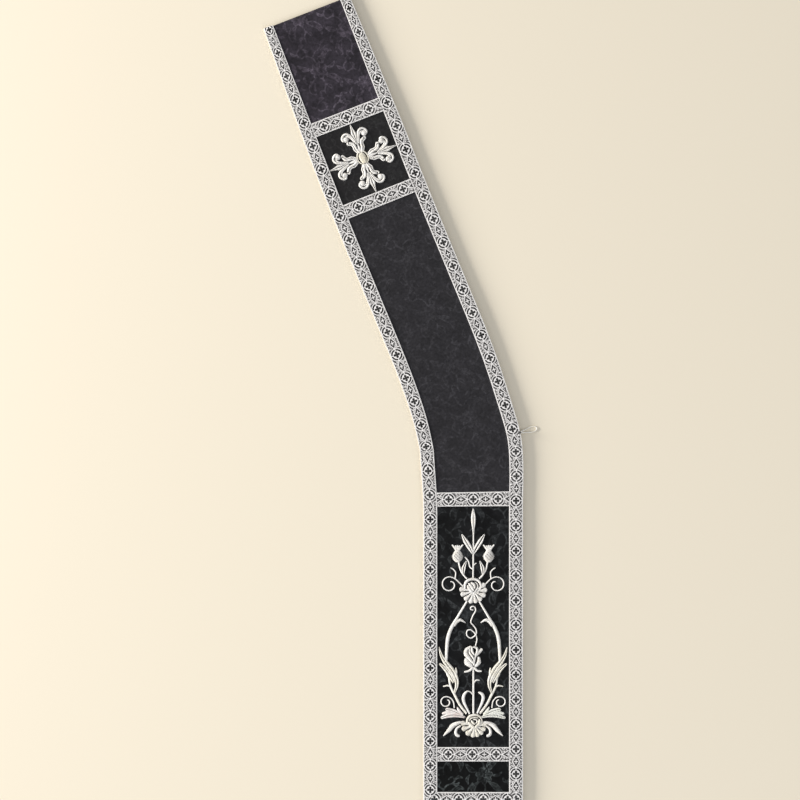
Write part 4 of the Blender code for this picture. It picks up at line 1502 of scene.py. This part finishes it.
def winding(
    centre: Point, outer: float, inner: float, start: float, sweep: float, count: int
) -> list[Point]:
    """Draws a scroll that winds in.

    Args:
        centre: its middle.
        outer: its radius at the start.
        inner: its radius at the end.
        start: the start's angle in degrees.
        sweep: how far it turns, in degrees.
        count: how many points to draw.

    Returns:
        Its points.
    """
    made = []
    for t in np.linspace(0.0, 1.0, count):
        radius = outer + (inner - outer) * t ** 3
        angle = math.radians(start + sweep * t)
        made.append((centre[0] + radius * math.cos(angle), centre[1] + radius * math.sin(angle)))
    return made


@dataclass
class CrossWork:
    """The embroidered cross: four trefoil arms round a knot."""

    band: Band
    material: Material
    cream: Material
    centre: float = 873.0
    groove: float = 0.75

    def arm(self, name: str, quarter: int) -> Stitchery:
        """Sews one arm of the cross.

        Args:
            name: its node's name.
            quarter: quarter turns from the arm that points up.

        Returns:
            The arm, not yet built.
        """
        cos, sin = ((1, 0), (0, 1), (-1, 0), (0, -1))[quarter]

        def place(u: np.ndarray, v: np.ndarray) -> tuple[np.ndarray, np.ndarray]:
            """Places across and along the band of points on the upright arm."""
            return u * cos + v * sin, self.centre + v * cos - u * sin

        work = Stitchery(self.band, f"satin_{name}", (name,), self.material, place)
        work.sew(
            Satin(((0, 8.2), (0, 12), (0, 19)), (2.8, 3.6, 1.6), 1),
            Satin(((0, 18.5), (0, 25), (0, 30), (0, 34.5), (0, 40), (0, 47)),
                  (1.6, 2.4, 4.6, 6.8, 3.4, 0.6), split=self.groove),
        )
        for side in (-1, 1):
            rows = (
                Satin(((3.6, 8.2), (5.2, 10.8), (6.9, 14), (6.9, 18.2), (8.2, 21), (11.6, 22.8),
                       (12.6, 24.6), (10.6, 26)), (1.6, 1.6, 1.6, 1.6, 1.6, 1.8, 2, 1.8), 1.2,
                      blunt=True),
                Satin(((1.6, 8.2), (2.8, 11.4), (4.1, 15), (4.3, 18.6), (5.8, 22.4), (9.6, 24.7)),
                      (2.2, 2.6, 2.8, 2.8, 3.2, 2.6), 1.4),
                Satin(((1.6, 20.5), (3.4, 28.4), (6.4, 34.6), (10.4, 37.2), (14.6, 36), (17, 32),
                       (15.4, 28.6)), (1.6, 2.2, 2.8, 2.8, 2.8, 2.8, 2.6), 1.4, blunt=True),
                Satin(((3.2, 23.5), (5.3, 29.3), (8.2, 33), (11.4, 34)), (1.4, 2.2, 2.4, 1.6), 1.3),
            )
            work.sew(*(flipped(row, side) for row in rows))
            work.disc((side * 12.7, 30.4), 3.3, rise=1.6, base=0.15, degrees=35)
        return work

    def knot(self) -> Stitchery:
        """Sews the oval knot in the middle, inside a rim.

        Returns:
            The knot, not yet built.
        """
        work = Stitchery(self.band, "satin_cross_knot", ("cross_knot",), self.cream,
                         lambda u, v: (u, v + self.centre))
        work.sew(
            Satin(((-0.6, 9.6), (-4.8, 7.6), (-7, 2), (-6.2, -4), (-1.6, -8.2)),
                  (1.3, 1.5, 1.5, 1.5, 1.3), 1.1, base=0.4),
            Satin(((1.2, 9.2), (5.2, 6.6), (6.9, 1.2), (5.8, -4.4), (1.6, -8)),
                  (1.3, 1.5, 1.5, 1.5, 1.3), 1.1, base=0.4),
            Satin(((0.1, -6.6), (-0.1, -3.8), (-0.1, 0.4), (0, 4.4), (0.2, 7.6)),
                  (4.6, 7.8, 9.2, 7.8, 5), 1.7, base=0.2, blunt=True),
        )
        return work

    def build(self) -> None:
        """Makes the four arms and the knot."""
        for quarter, word in enumerate(("up", "right", "down", "left")):
            self.arm(f"cross_arm_{word}", quarter).build()
        self.knot().build()


class Petal(NamedTuple):
    """A petal's root, tip and width, how far it is lifted over the others, and how far it bows."""

    root: Point
    tip: Point
    width: float
    base: float = 0.0
    bow: float = 0.0


STEM_RISE = 1.0
HEAD_RISE = 1.6
# A petal's widths from its root to its round tip, as shares of its full width
PETAL_SHARES = (0.27, 0.31, 0.44, 0.8, 1.06)


def rose(
    petals: Sequence[Petal], heart: Sequence[tuple], middle: Point, size: float
) -> tuple[Satin, ...]:
    """Draws a rose: petals that fan out from its middle, and its wrapped heart over them.

    Args:
        petals: the petals.
        heart: each inner petal's route, widths, rise and base, for a heart 21 millimetres wide.
        middle: the heart's middle.
        size: the heart's size against that one.

    Returns:
        The bands, in the order that they are sewn in.
    """
    made = []
    for p in petals:
        du, dv = p.tip[0] - p.root[0], p.tip[1] - p.root[1]
        length = math.hypot(du, dv)
        bend = tuple(
            (p.root[0] + du * t - dv / length * p.bow * 4 * t * (1 - t),
             p.root[1] + dv * t + du / length * p.bow * 4 * t * (1 - t)) for t in (0.35, 0.7)
        )
        widths = tuple(p.width * share for share in PETAL_SHARES)
        route = (p.root, *bend, p.tip)
        made.append(Satin(route, widths, 1.25, base=p.base, blunt=True, roundness=2.1, lean=14.0))
    for route, widths, rise, base in heart:
        placed = tuple((middle[0] + u * size, middle[1] + v * size) for u, v in route)
        made.append(Satin(placed, tuple(w * size for w in widths), rise, base=base, lean=30.0))
    return tuple(made)


# The spray's motifs on the centre line, by node, drawn across and along the band
MIDDLE_MOTIFS: dict[str, tuple[Satin, ...]] = {
    "rose_upper": rose(
        (
            Petal((-1, 281.6), (-17.8, 284), 7.6),
            Petal((-0.6, 280.8), (-16.2, 276.6), 7, 0, 0.4),
            Petal((-0.2, 280.4), (-11.4, 269.8), 7, 0, 0.4),
            Petal((0.2, 280), (-4, 265.2), 7.2),
            Petal((0.8, 280), (3.6, 265.6), 7.2, 0, -0.3),
            Petal((1.4, 280.2), (10.8, 268.8), 7.2, 0, -0.4),
            Petal((2.2, 280.6), (16.2, 275), 7.4, 0, -0.4),
            Petal((3.4, 281.8), (18.2, 283), 7.8, 0, -0.5),
            Petal((5.4, 283.8), (15.4, 291), 7.8, 0.05, -0.8),
        ),
        (
            (((-10.4, -3.2), (-9.7, 3.2), (-5.8, 7.3), (0.8, 8.7), (6.6, 7.2), (10, 2.8), (10, -3),
              (6.6, -8.2)), (2.6, 3.3, 3.4, 3.3, 3.2, 2.7, 2.4, 1.5), 1.4, 0.2),
            (((2.8, 4.9), (5.7, 2.8), (6.4, -1.6), (4.2, -6), (1.6, -9.2)),
             (0.9, 1.7, 2.1, 2.3, 1.6), 1.4, 0.3),
            (((-6.3, 0.6), (-5, -3), (-1.4, -8)), (2.2, 4.5, 2.8), 1.5, 0.34),
            (((-4.9, 3.4), (-1.9, -0.8), (1, -6.2)), (2.4, 4.1, 2.2), 1.5, 0.42),
            (((-1.9, 4.6), (1.7, 1.6), (2.7, -3.4)), (1.9, 3.7, 1.8), 1.5, 0.5),
        ),
        (-0.6, 288), 1,
    ),
    "rose_lower": rose(
        (
            Petal((-0.6, 106.4), (-16.2, 108.8), 7.4),
            Petal((-0.4, 105.4), (-14.8, 101), 8.2, 0, 0.6),
            Petal((0.4, 104.6), (-9, 93.6), 8.8, 0, 0.8),
            Petal((1.2, 104), (-1, 90.2), 7.6, 0, 0.4),
            Petal((2, 104), (6.2, 90.8), 6.8, 0, -0.3),
            Petal((2.8, 104.2), (12.4, 94.2), 6.8, 0, -0.4),
            Petal((3.4, 104.8), (16.2, 100), 7, 0, -0.4),
            Petal((4, 105.8), (17.6, 107.4), 7, 0, -0.4),
        ),
        (
            (((10, 3), (10.4, -2), (7.6, -7.4)), (1.6, 2.4, 1.6), 1.3, 0.1),
            (((-10.6, -2.4), (-9.7, 3.2), (-5.8, 7.2), (0.8, 8.6), (6.6, 7), (9.6, 3.2)),
             (2.6, 3.4, 3.5, 3.3, 2.8, 1.6), 1.4, 0.2),
            (((-7.2, 0.6), (-5, 3.8), (0.2, 4.9), (5, 4.4)), (1.6, 2.2, 2.4, 1.4), 1.4, 0.35),
            (((-8.2, -1.4), (-6, -5.2), (-1, -9)), (2.4, 5, 3.4), 1.5, 0.3),
            (((7.2, 2), (6.2, -3.6), (1.4, -8.8)), (2.2, 4.6, 3), 1.5, 0.42),
            (((-4.4, 0.8), (-2.6, -1.8), (0.2, -4.8)), (1.8, 3.4, 1.8), 1.5, 0.5),
            (((-1.6, 1.9), (1, 2.1), (3.4, 1.2), (3.4, -1.4), (1.6, -3.4)),
             (1.4, 2, 2.1, 2, 1.2), 1.5, 0.5),
        ),
        (1.8, 111.4), 0.92,
    ),
    "rosebud": (
        Satin(((0.3, 182), (0.4, 150), (0.3, 121.4)), (2, 2.4, 2.4), STEM_RISE),
        Satin(((0.4, 160.6), (3.8, 164.6), (8.6, 164.6)), (1.8, 2, 1.6), STEM_RISE, blunt=True),
        Satin(((-0.2, 181.6), (-5.2, 177), (-11.8, 175.4)), (3.4, 2.8, 2.2), STEM_RISE, blunt=True),
        Satin(((0.8, 181.6), (5.4, 177.2), (11.4, 176.4)), (3.4, 2.8, 2.2), STEM_RISE, blunt=True),
        Satin(((-9.2, 192.8), (-7.4, 187.2), (-1, 182.2)), (3, 7.2, 3.6), 1.3, blunt=True),
        Satin(((7.4, 195), (7.4, 188.2), (2.6, 182.4)), (2.6, 5.4, 3), 1.3, blunt=True),
        Satin(((3.2, 196.4), (1.4, 190), (1, 184)), (2, 3, 1.8), 1.3),
        Satin(((-3.2, 208.4), (-8.6, 204.6), (-9.4, 198.8), (-4.6, 192.4), (0.2, 187)),
              (2.6, 4.2, 5, 4.2, 2.2), 1.4, base=0.3),
        Satin(((-4.4, 205.2), (-4.6, 200.8), (-1.2, 195.6), (1.4, 191.4)),
              (1.6, 2.6, 2.6, 1.4), 1.5, base=0.45),
        Satin(((-1.6, 208.6), (-1.4, 202.6), (1.6, 197.6)), (2.2, 3.2, 1.6), 1.5, base=0.55),
        Satin(((0.4, 208.2), (4.8, 206.6), (5, 201.4), (2.6, 198.2)), (2.2, 3.2, 2.8, 1.4), 1.5, base=0.5),
        Satin(((2.8, 195.8), (7, 200.6), (12.2, 206)), (2.2, 4, 3.6), 1.3, base=0.2, blunt=True),
    ),
    "bud_spray": (
        Satin(((0, 297), (0.3, 328), (0.4, 352), (0.4, 358)), (1.8, 1.9, 1.5, 1.4), STEM_RISE),
        Satin(((0.4, 355), (0.4, 362), (0.4, 370), (0.4, 378), (0.2, 384), (0.2, 389)),
              (1.5, 2.6, 5.4, 6, 3.6, 0.8), 1.3, split=0.3),
        Satin(((0.6, 309.5), (-4, 312.5), (-6.4, 320.5), (-10.6, 325.6)), (1.6, 1.8, 1.7, 1.3), STEM_RISE),
        Satin(((0.2, 314.5), (2.8, 317), (4.6, 317.8)), (1.6, 1.4, 1.2), STEM_RISE, blunt=True),
        *(
            flipped(Satin(((0.6, 330.6), (4.8, 338.6), (9.8, 346.6), (14.8, 355.4)), (2.6, 6, 6.2, 1.2),
                          1.2, split=slit), side) for side, slit in ((-1, 0.7), (1, 1.25))
        ),
    ),
    "tendril": (
        Satin(((-0.2, 256.4), (-3.4, 257.6), (-2, 261), (2.2, 260.4), (3.2, 255.6), (-0.6, 248.4),
               (-2.9, 240.6), (0.6, 236), (4, 230.8), (3.6, 224.6), (-2.6, 219.8), (-8, 223.2),
               (-7.8, 229.2), (-2.6, 231)), (1.5, 1.6, 1.6, 1.5), STEM_RISE, blunt=True, lean=38),
        Satin(((-3.4, 231), (2.4, 225.8), (5, 218.4), (3.2, 210)), (1.5, 1.5), 0.9, lean=38),
    ),
}
# The motifs that come in pairs, as they are on the right
SIDE_MOTIFS: dict[str, tuple[Satin, ...]] = {
    "poppy": (
        Satin(((19.2, 320.5), (16.4, 308.5), (11.6, 301), (8.2, 297.6)), (2.2, 1.9, 2, 2.1), STEM_RISE),
        Satin(((12.8, 303), (12.4, 311), (8.8, 320.6)), (2, 5.4, 1), 1.2, split=1),
        Satin(((20.3, 319.2), (20.3, 322.8), (20.3, 326.8), (20.3, 330.8), (20.3, 335)),
              (4.6, 11, 13, 10, 4.4), HEAD_RISE, blunt=True, roundness=2.6, lean=0),
        Satin(((20, 331), (18.4, 335.6), (13.4, 341.6)), (3, 3.2, 1.6), 1.2),
        Satin(((20.8, 331), (22.4, 335.6), (27.4, 341.6)), (3, 3.2, 1.6), 1.2),
        Satin(((19.8, 333), (19, 337.4), (17.6, 341)), (2.2, 2.6, 2.2), 1.2, blunt=True),
        Satin(((20.4, 333), (20.4, 337.6), (20.6, 341.4)), (2.2, 2.4, 2.2), 1.3, blunt=True),
        Satin(((21, 333), (21.8, 337.4), (23.4, 341)), (2.2, 2.6, 2.2), 1.2, blunt=True),
    ),
    "scroll_upper": (
        Satin(((13.4, 287.6), (18.4, 292.6), (23.6, 297.4), (29, 299.5),
               *winding((30.8, 290.3), 9.4, 3.2, 90, -340, 14)), (1.5, 1.5, 1.6, 1.5, 1.5),
              STEM_RISE, blunt=True),
        Satin(((23.6, 297), (22.8, 305), (25.4, 309.2), (29.4, 311.8)), (1.5, 1.5, 1.4),
              STEM_RISE, blunt=True),
    ),
    "scroll_lower": (
        Satin(((24.6, 128.8), (25.8, 136.6), (29.6, 141.6), (33.6, 143),
               *winding((35.4, 136.6), 6.6, 3, 90, -330, 12)), (1.5, 1.6, 1.6, 1.6),
              STEM_RISE, blunt=True),
    ),
    "arch": (
        Satin(((8.2, 267.6), (20.2, 247.6), (28.6, 232.6), (33.4, 217), (35.2, 190)),
              (2.2, 2.8, 4.2, 4.2, 3.2), 1.3, lean=40),
        Satin(((24.6, 235.4), (21.6, 241), (16.4, 243.4), (10, 239.8)), (2, 4.6, 3.6, 0.8), 1.3),
    ),
    "acanthus": (
        Satin(((8.9, 121.6), (17.4, 132.6), (24.6, 146.6), (29.6, 157), (31.6, 169)),
              (2.8, 3, 3, 2.6, 2.4), STEM_RISE),
        Satin(((24.4, 148), (21.4, 158), (22.6, 167.6), (28.6, 178.6), (36.2, 188.4), (41.6, 197.6),
               (44.4, 208)), (2, 4.4, 6.2, 7, 6, 3.8, 0.7), 1.35, split=0.5),
        Satin(((25.4, 162), (30.6, 171.6), (37, 180.2), (44, 186.6)), (3.6, 5.6, 5, 2.4), 1.2,
              split=0.4, blunt=True),
        Satin(((29.6, 166), (33.2, 172.4), (34.8, 174.6)), (3, 3.8, 1.4), 1.1, blunt=True),
        Satin(((22.6, 168.6), (22.2, 175.4), (22.6, 181.4)), (3, 3, 1), 1.1, blunt=True),
        Satin(((28.4, 155), (33, 157.6), (39.4, 156.4)), (2.2, 2.2, 1.8), STEM_RISE, blunt=True),
    ),
    "lobed_leaf": (
        Satin(((11, 116.4), (20, 118.6), (30, 118.8), (42.2, 115.4)), (2.6, 5, 6.2, 3.2), 1.3,
              split=0.35, blunt=True),
        Satin(((14.2, 118.8), (25, 124), (36.2, 127)), (2.6, 6, 4.2), 1.2, split=0.35, blunt=True),
        Satin(((13.6, 119.8), (18.4, 124.6), (20.8, 129.6)), (2.8, 4.2, 0.9), 1.1),
        Satin(((27, 121.6), (34, 122.4), (40.6, 120.8)), (2, 4, 3), 1.1, blunt=True),
    ),
    "lower_leaf": (
        Satin(((13.6, 109.6), (18.6, 109.2), (26, 105.8), (31.4, 99.4), (38.8, 92)),
              (2.6, 3.6, 5.6, 4.8, 0.8), 1.3, lean=36),
    ),
    "lower_curl": (
        Satin(((16.4, 105.4), (21.2, 101.8), (22.8, 97), (21.4, 93), (17.4, 91.8)),
              (2.2, 2.8, 3.4, 3.8, 3.8), 1.3, blunt=True),
    ),
}
# The inner loop is closed on the left and open on the right
INNER_LOOPS = {
    -1: Satin(((0.8, 146.2), (3.6, 149.4), (7.4, 150.2), (11.2, 146.8), (12.8, 141.2), (11.4, 134.6),
               (8, 127.6), (4.8, 121.2)), (1.3, 1.4, 1.8, 3.4, 3.9, 3.4, 2.6, 2.2), 1.2, lean=36),
    1: Satin(((7.4, 149.2), (11.4, 146.8), (13.2, 142.4), (11.6, 135.4), (8.4, 128.2), (5.4, 121.6)),
             (1.8, 3.8, 3.9, 3.2, 2.5, 2.2), 1.2, lean=36),
}


@dataclass
class FlowerWork:
    """The flower spray: roses, rosebud, poppies, bud, leaves, scrolls and stems."""

    band: Band
    ivory: Material
    cream: Material
    blush: Material
    leaf: Material
    grey: Material
    head: Point = (20.4, 327.0)
    head_half: float = 6.8
    lattice_spacing: float = 3.0
    lattice_reach: float = 5.4
    lattice_lift: float = 0.42
    lattice_half_stitch: float = 1.0
    lattice_crown: float = 0.35

    def motif(self, node: str, material: Material, satins: Sequence[Satin]) -> Object:
        """Sews one motif.

        Args:
            node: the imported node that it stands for.
            material: its threads' material.
            satins: its bands.

        Returns:
            The piece.
        """
        work = Stitchery(self.band, f"satin_{node}", (node,), material)
        work.sew(*satins)
        return work.build()

    def lattice(self, piece: Object, side: int) -> None:
        """Sews a diagonal grid of small grey stitches over a poppy's seed head.

        Args:
            piece: the poppy.
            side: -1 on the left and 1 on the right.
        """
        marks = np.arange(-2.0, 2.1) * self.lattice_spacing
        p, q = (grid.ravel() for grid in np.meshgrid(marks, marks))
        u, v = (p - q) * math.sqrt(0.5), (p + q) * math.sqrt(0.5)
        inside = np.hypot(u, v * 0.9) < self.lattice_reach
        u, v = u[inside], v[inside]
        dome = HEAD_RISE * np.sqrt(1.0 - (u / self.head_half) ** 2)
        along = self.head[1] + v
        feet = self.band.place(along, side * self.head[0] + u, Stitchery.foot + dome + self.lattice_lift)
        half, crown = (np.full(len(u), size) for size in (self.lattice_half_stitch, self.lattice_crown))
        turn = math.radians(-45.0) + self.band.heading(along)
        threads = ThreadTree("lattice_threads", THREAD_RADIUS).lay(feet, half, crown, turn, self.grey)
        settle(f"{piece.name}_lattice", join_meshes("lattice", (threads,)), self.grey)

    def build(self) -> None:
        """Makes the whole spray."""
        for node, satins in MIDDLE_MOTIFS.items():
            self.motif(node, self.cream if node == "rose_lower" else self.ivory, satins)
        for side, word, tint in ((-1, "left", self.blush), (1, "right", self.leaf)):
            materials = {"acanthus": self.cream, "lobed_leaf": tint}
            for kind, satins in {**SIDE_MOTIFS, "inner_loop": (INNER_LOOPS[side],)}.items():
                placed = [flipped(satin, side) for satin in satins]
                piece = self.motif(f"{kind}_{word}", materials.get(kind, self.ivory), placed)
                if kind == "poppy":
                    self.lattice(piece, side)


@dataclass
class SewingWork:
    """Short stitches that hold the galloon down along both of its edges."""

    band: Band
    material: Material
    height: float = 6.72
    spacing: float = 3.2
    half_stitch: float = 1.0
    inset: float = 0.75
    crown: float = 0.28
    start: float = 22.0
    end_gap: float = 2.0

    def build(self) -> None:
        """Lays the stitches of the side tapes and the cross tapes as one piece."""
        feet, turns = [], []
        along = np.arange(self.start, self.band.fold_start - self.end_gap, self.spacing)
        for side in (-1, 1):
            for reach in (self.band.outer(along) - self.inset, self.band.inner(along) + self.inset):
                feet.append(self.band.place(along, side * reach, self.height))
                turns.append(self.band.heading(along) + math.pi / 2)
        for tape in CROSS_TAPES:
            reach = float(self.band.inner(tape.middle)) - self.end_gap
            across = np.arange(-reach, reach, self.spacing)
            for edge in (-1, 1):
                place = tape.middle + edge * (self.band.cross_tape_width / 2 - self.inset)
                feet.append(self.band.place(np.full(len(across), place), across, self.height))
                turns.append(np.full(len(across), float(self.band.heading(place))))
        turn = np.concatenate(turns)
        half, crown = (np.full(len(turn), size) for size in (self.half_stitch, self.crown))
        tree = ThreadTree("sewing_threads", 0.17, sides=4, spans=4, unevenness=0.12)
        threads = tree.lay(np.concatenate(feet), half, crown, turn, self.material)
        settle("tape_sewing", join_meshes("tape_sewing", (threads,)), self.material)


@dataclass
class LoopWork:
    """The cord loop and the bead at the outer edge of the bend."""

    band: Band
    cord: Material
    glass: Material
    along: float = 476.0
    lean: float = math.radians(4.0)
    diameter: float = 1.5
    plies: int = 3
    ply_depth: float = 0.2
    ply_round: float = 0.7
    lay_length: float = 3.6
    sides: int = 18
    stations: int = 150
    readings: int = 400
    bead_radius: float = 1.6
    # The bead's length along its hole, and its hole's width, as shares of its width
    bead_flat: float = 0.92
    bead_hole: float = 0.28
    bead_sides: int = 32
    bead_rings: int = 18
    # The hole is narrower inside, up to this far from the bead's middle
    hole_waist: float = 0.28 * 0.9
    hole_reach: float = 0.4
    # Out from the edge, to its right going up, and height above the table
    route: tuple[tuple[float, float, float], ...] = (
        (0, -0.95, 3.4),
        (2.4, -1, 3.1),
        (5.2, -1.5, 1.7),
        (8.4, -2.2, 0.85),
        (12.2, -3, 0.8),
        (16, -3.6, 0.8),
        (19.4, -3.2, 0.8),
        (21.8, -1.7, 0.8),
        (22.6, 0, 0.8),
        (21.8, 1.7, 0.8),
        (19.4, 3.2, 0.8),
        (16, 3.6, 0.8),
        (12.2, 3, 0.8),
        (8.4, 2.2, 0.85),
        (5.2, 1.5, 1.7),
        (2.4, 1, 3.1),
        (0, 0.95, 3.4),
    )

    def centre_line(self, count: int) -> np.ndarray:
        """Lays out the cord's centre line in the row frame.

        Args:
            count: how many points to give.

        Returns:
            The points in millimetres, at even steps.
        """
        rows = smooth_route(self.route, np.linspace(0.0, 1.0, self.readings))
        out, aside, height = rows.T
        across = out * math.cos(self.lean) - aside * math.sin(self.lean)
        up = out * math.sin(self.lean) + aside * math.cos(self.lean)
        root = self.band.place(self.along, float(self.band.outer(self.along)), 0.0)[:2] / MM
        angle = float(self.band.heading(self.along))
        x = root[0] + across * math.cos(angle) - up * math.sin(angle)
        y = root[1] + across * math.sin(angle) + up * math.cos(angle)
        line = np.stack((x, y, height), axis=1)
        run = np.concatenate(([0.0], np.cumsum(np.linalg.norm(np.diff(line, axis=0), axis=1))))
        marks = np.linspace(0.0, run[-1], count)
        return np.stack([np.interp(marks, run, line[:, i]) for i in range(3)], axis=1)

    def build(self) -> None:
        """Makes the twisted cord and the bead."""
        line = self.centre_line(self.stations)
        length = float(np.linalg.norm(np.diff(line, axis=0), axis=1).sum())
        tangent = np.gradient(line, axis=0)
        tangent /= np.linalg.norm(tangent, axis=1)[:, None]
        side = np.cross(tangent, (0.0, 0.0, 1.0))
        side /= np.linalg.norm(side, axis=1)[:, None]
        up = np.cross(side, tangent)
        angles = np.linspace(0.0, math.tau, self.sides, endpoint=False)
        rings = []
        for i, centre in enumerate(line):
            twist = math.tau * (length * i / (len(line) - 1)) / self.lay_length
            bulge = np.abs(np.cos(self.plies * (angles - twist / self.plies) / 2)) ** self.ply_round
            radius = self.diameter / 2 * (1.0 - self.ply_depth + self.ply_depth * bulge)
            offset = np.outer(radius * np.cos(angles), side[i]) + np.outer(radius * np.sin(angles), up[i])
            rings.append((centre + offset) * MM)
        points = np.array(rings)
        mesh = make_mesh("twisted_loop", points, ring_faces(0, len(points), self.sides), sharp=75.0)
        cord = settle("twisted_loop", mesh, self.cord, ["loop_cord"])
        self.bead()

    def bead(self) -> None:
        """The pressed bead: a slightly flattened ball with a thread hole along the loop's direction."""
        low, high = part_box("loop_bead")
        middle = np.array((low + high) / 2)
        edge = math.asin(self.bead_hole)
        turns = np.linspace(edge, math.pi - edge, self.bead_rings)
        profile = [(math.sin(t), self.bead_flat * math.cos(t)) for t in turns]
        profile += [(self.hole_waist, end) for end in (-self.hole_reach, self.hole_reach)]
        angles = np.linspace(0.0, math.tau, self.bead_sides, endpoint=False)
        lean = self.lean + float(self.band.heading(self.along))
        rings = []
        for radius, run in np.array(profile) * self.bead_radius:
            x = run * math.cos(lean) - radius * np.cos(angles) * math.sin(lean)
            y = run * math.sin(lean) + radius * np.cos(angles) * math.cos(lean)
            rings.append(np.stack((x, y, radius * np.sin(angles)), axis=1) * MM + middle)
        faces = ring_faces(0, len(rings), self.bead_sides, joined=True)
        mesh = make_mesh("glass_bead", np.array(rings), faces, sharp=60.0)
        settle("glass_bead", mesh, self.glass, ["loop_bead"])


@dataclass
class Studio:
    """The plain table, the soft light and the camera straight above."""

    band: Band
    camera_height: float = 3.2
    sensor: float = 36.0
    clip_end: float = 50.0
    floor_size: float = 8.0
    floor_drop: float = 0.0002
    key_power: float = 380.0
    fill_power: float = 20.0
    world_strength: float = 0.50

    def camera(self) -> None:
        """Puts the camera straight above the middle of the photograph's frame."""
        data = bpy.data.cameras.new("camera")
        data.sensor_width = self.sensor
        data.lens = self.sensor * self.camera_height / (PHOTO_SIZE * PIXEL * MM)
        data.clip_end = self.clip_end
        camera = bpy.data.objects.new("camera", data)
        bpy.context.scene.collection.objects.link(camera)
        hem = self.band.place(np.array(0.0), np.array(0.0), np.array(0.0))
        x = hem[0] + (PHOTO_SIZE / 2 - HEM_PIXEL[0]) * PIXEL * MM
        y = hem[1] + (HEM_PIXEL[1] - PHOTO_SIZE / 2) * PIXEL * MM
        camera.location = (x, y, self.camera_height)
        bpy.context.scene.camera = camera

    def lamp(
        self, name: str, place: tuple[float, float, float], size: float, power: float, colour: str
    ) -> None:
        """Adds a square soft lamp that faces the middle of the table.

        Args:
            name: its name.
            place: where it stands, in metres.
            size: the length of its side.
            power: its power in watts.
            colour: its colour as sRGB hex.
        """
        data = bpy.data.lights.new(name, "AREA")
        data.shape = "SQUARE"
        data.size = size
        data.energy = power
        data.color = linear(colour)[:3]
        light = bpy.data.objects.new(name, data)
        light.location = place
        light.rotation_euler = (-Vector(place)).to_track_quat("-Z", "Y").to_euler()
        bpy.context.scene.collection.objects.link(light)

    def build(self) -> None:
        """Makes the floor, the lamps, the world's light and the camera."""
        half = self.floor_size / 2
        mesh = bpy.data.meshes.new("table_top")
        mesh.from_pydata([(-half, -half, 0.0), (half, -half, 0.0), (half, half, 0.0), (-half, half, 0.0)], [],
                         [(0, 1, 2, 3)])
        mesh.materials.append(PaintedBoard().material())
        floor = bpy.data.objects.new("table_top", mesh)
        floor.location.z = -self.floor_drop
        bpy.context.scene.collection.objects.link(floor)
        self.lamp("key", (-4.4, 0.7, 1.2), 1.6, self.key_power, "#FFFAF3")
        self.lamp("fill", (1.2, -1.8, 2.6), 2.2, self.fill_power, "#F4F7FF")
        world = bpy.data.worlds.new("studio")
        world.use_nodes = True
        background = world.node_tree.nodes["Background"]
        background.inputs["Color"].default_value = linear("#F6F7FA")
        background.inputs["Strength"].default_value = self.world_strength
        bpy.context.scene.world = world
        bpy.context.scene.view_settings.view_transform = "Standard"
        self.camera()


def main() -> None:
    """Builds the stole's pieces in order."""
    logging.basicConfig(level=logging.INFO, format="%(name)s %(message)s")
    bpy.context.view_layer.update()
    band = Band()
    Studio(band).build()
    ivory = SatinThread("ivory_rayon_thread", "#FAF9F6", "#EEEBE5").material()
    cream = SatinThread("cream_rayon_thread", "#FAF8F1", "#EDE9DD").material()
    straw = SatinThread("straw_rayon_thread", "#F8F5EA", "#EEE8D6").material()
    blush = SatinThread("blush_rayon_thread", "#FAF8F5", "#F1E6E0").material()
    leaf = SatinThread("pale_green_rayon_thread", "#F8F8F3", "#E9EBDF").material()
    grey = SatinThread("grey_rayon_thread", "#8F8C86", "#75726D").material()
    cord = SatinThread("white_cotton_cord", "#FCFAF4", "#F1ECDD", roughness=0.6, sheen=0.1).material()
    LoopWork(band, cord, BlackGlass().material()).build()
    BrocadeWork(band).build()
    galloon = GalloonWork(band, SilverGalloon().material())
    for half in Half:
        galloon.build(half)
    SewingWork(band, ivory).build()
    CrossWork(band, ivory, straw).build()
    FlowerWork(band, ivory, cream, blush, leaf, grey).build()


if __name__ == "__main__":
    main()
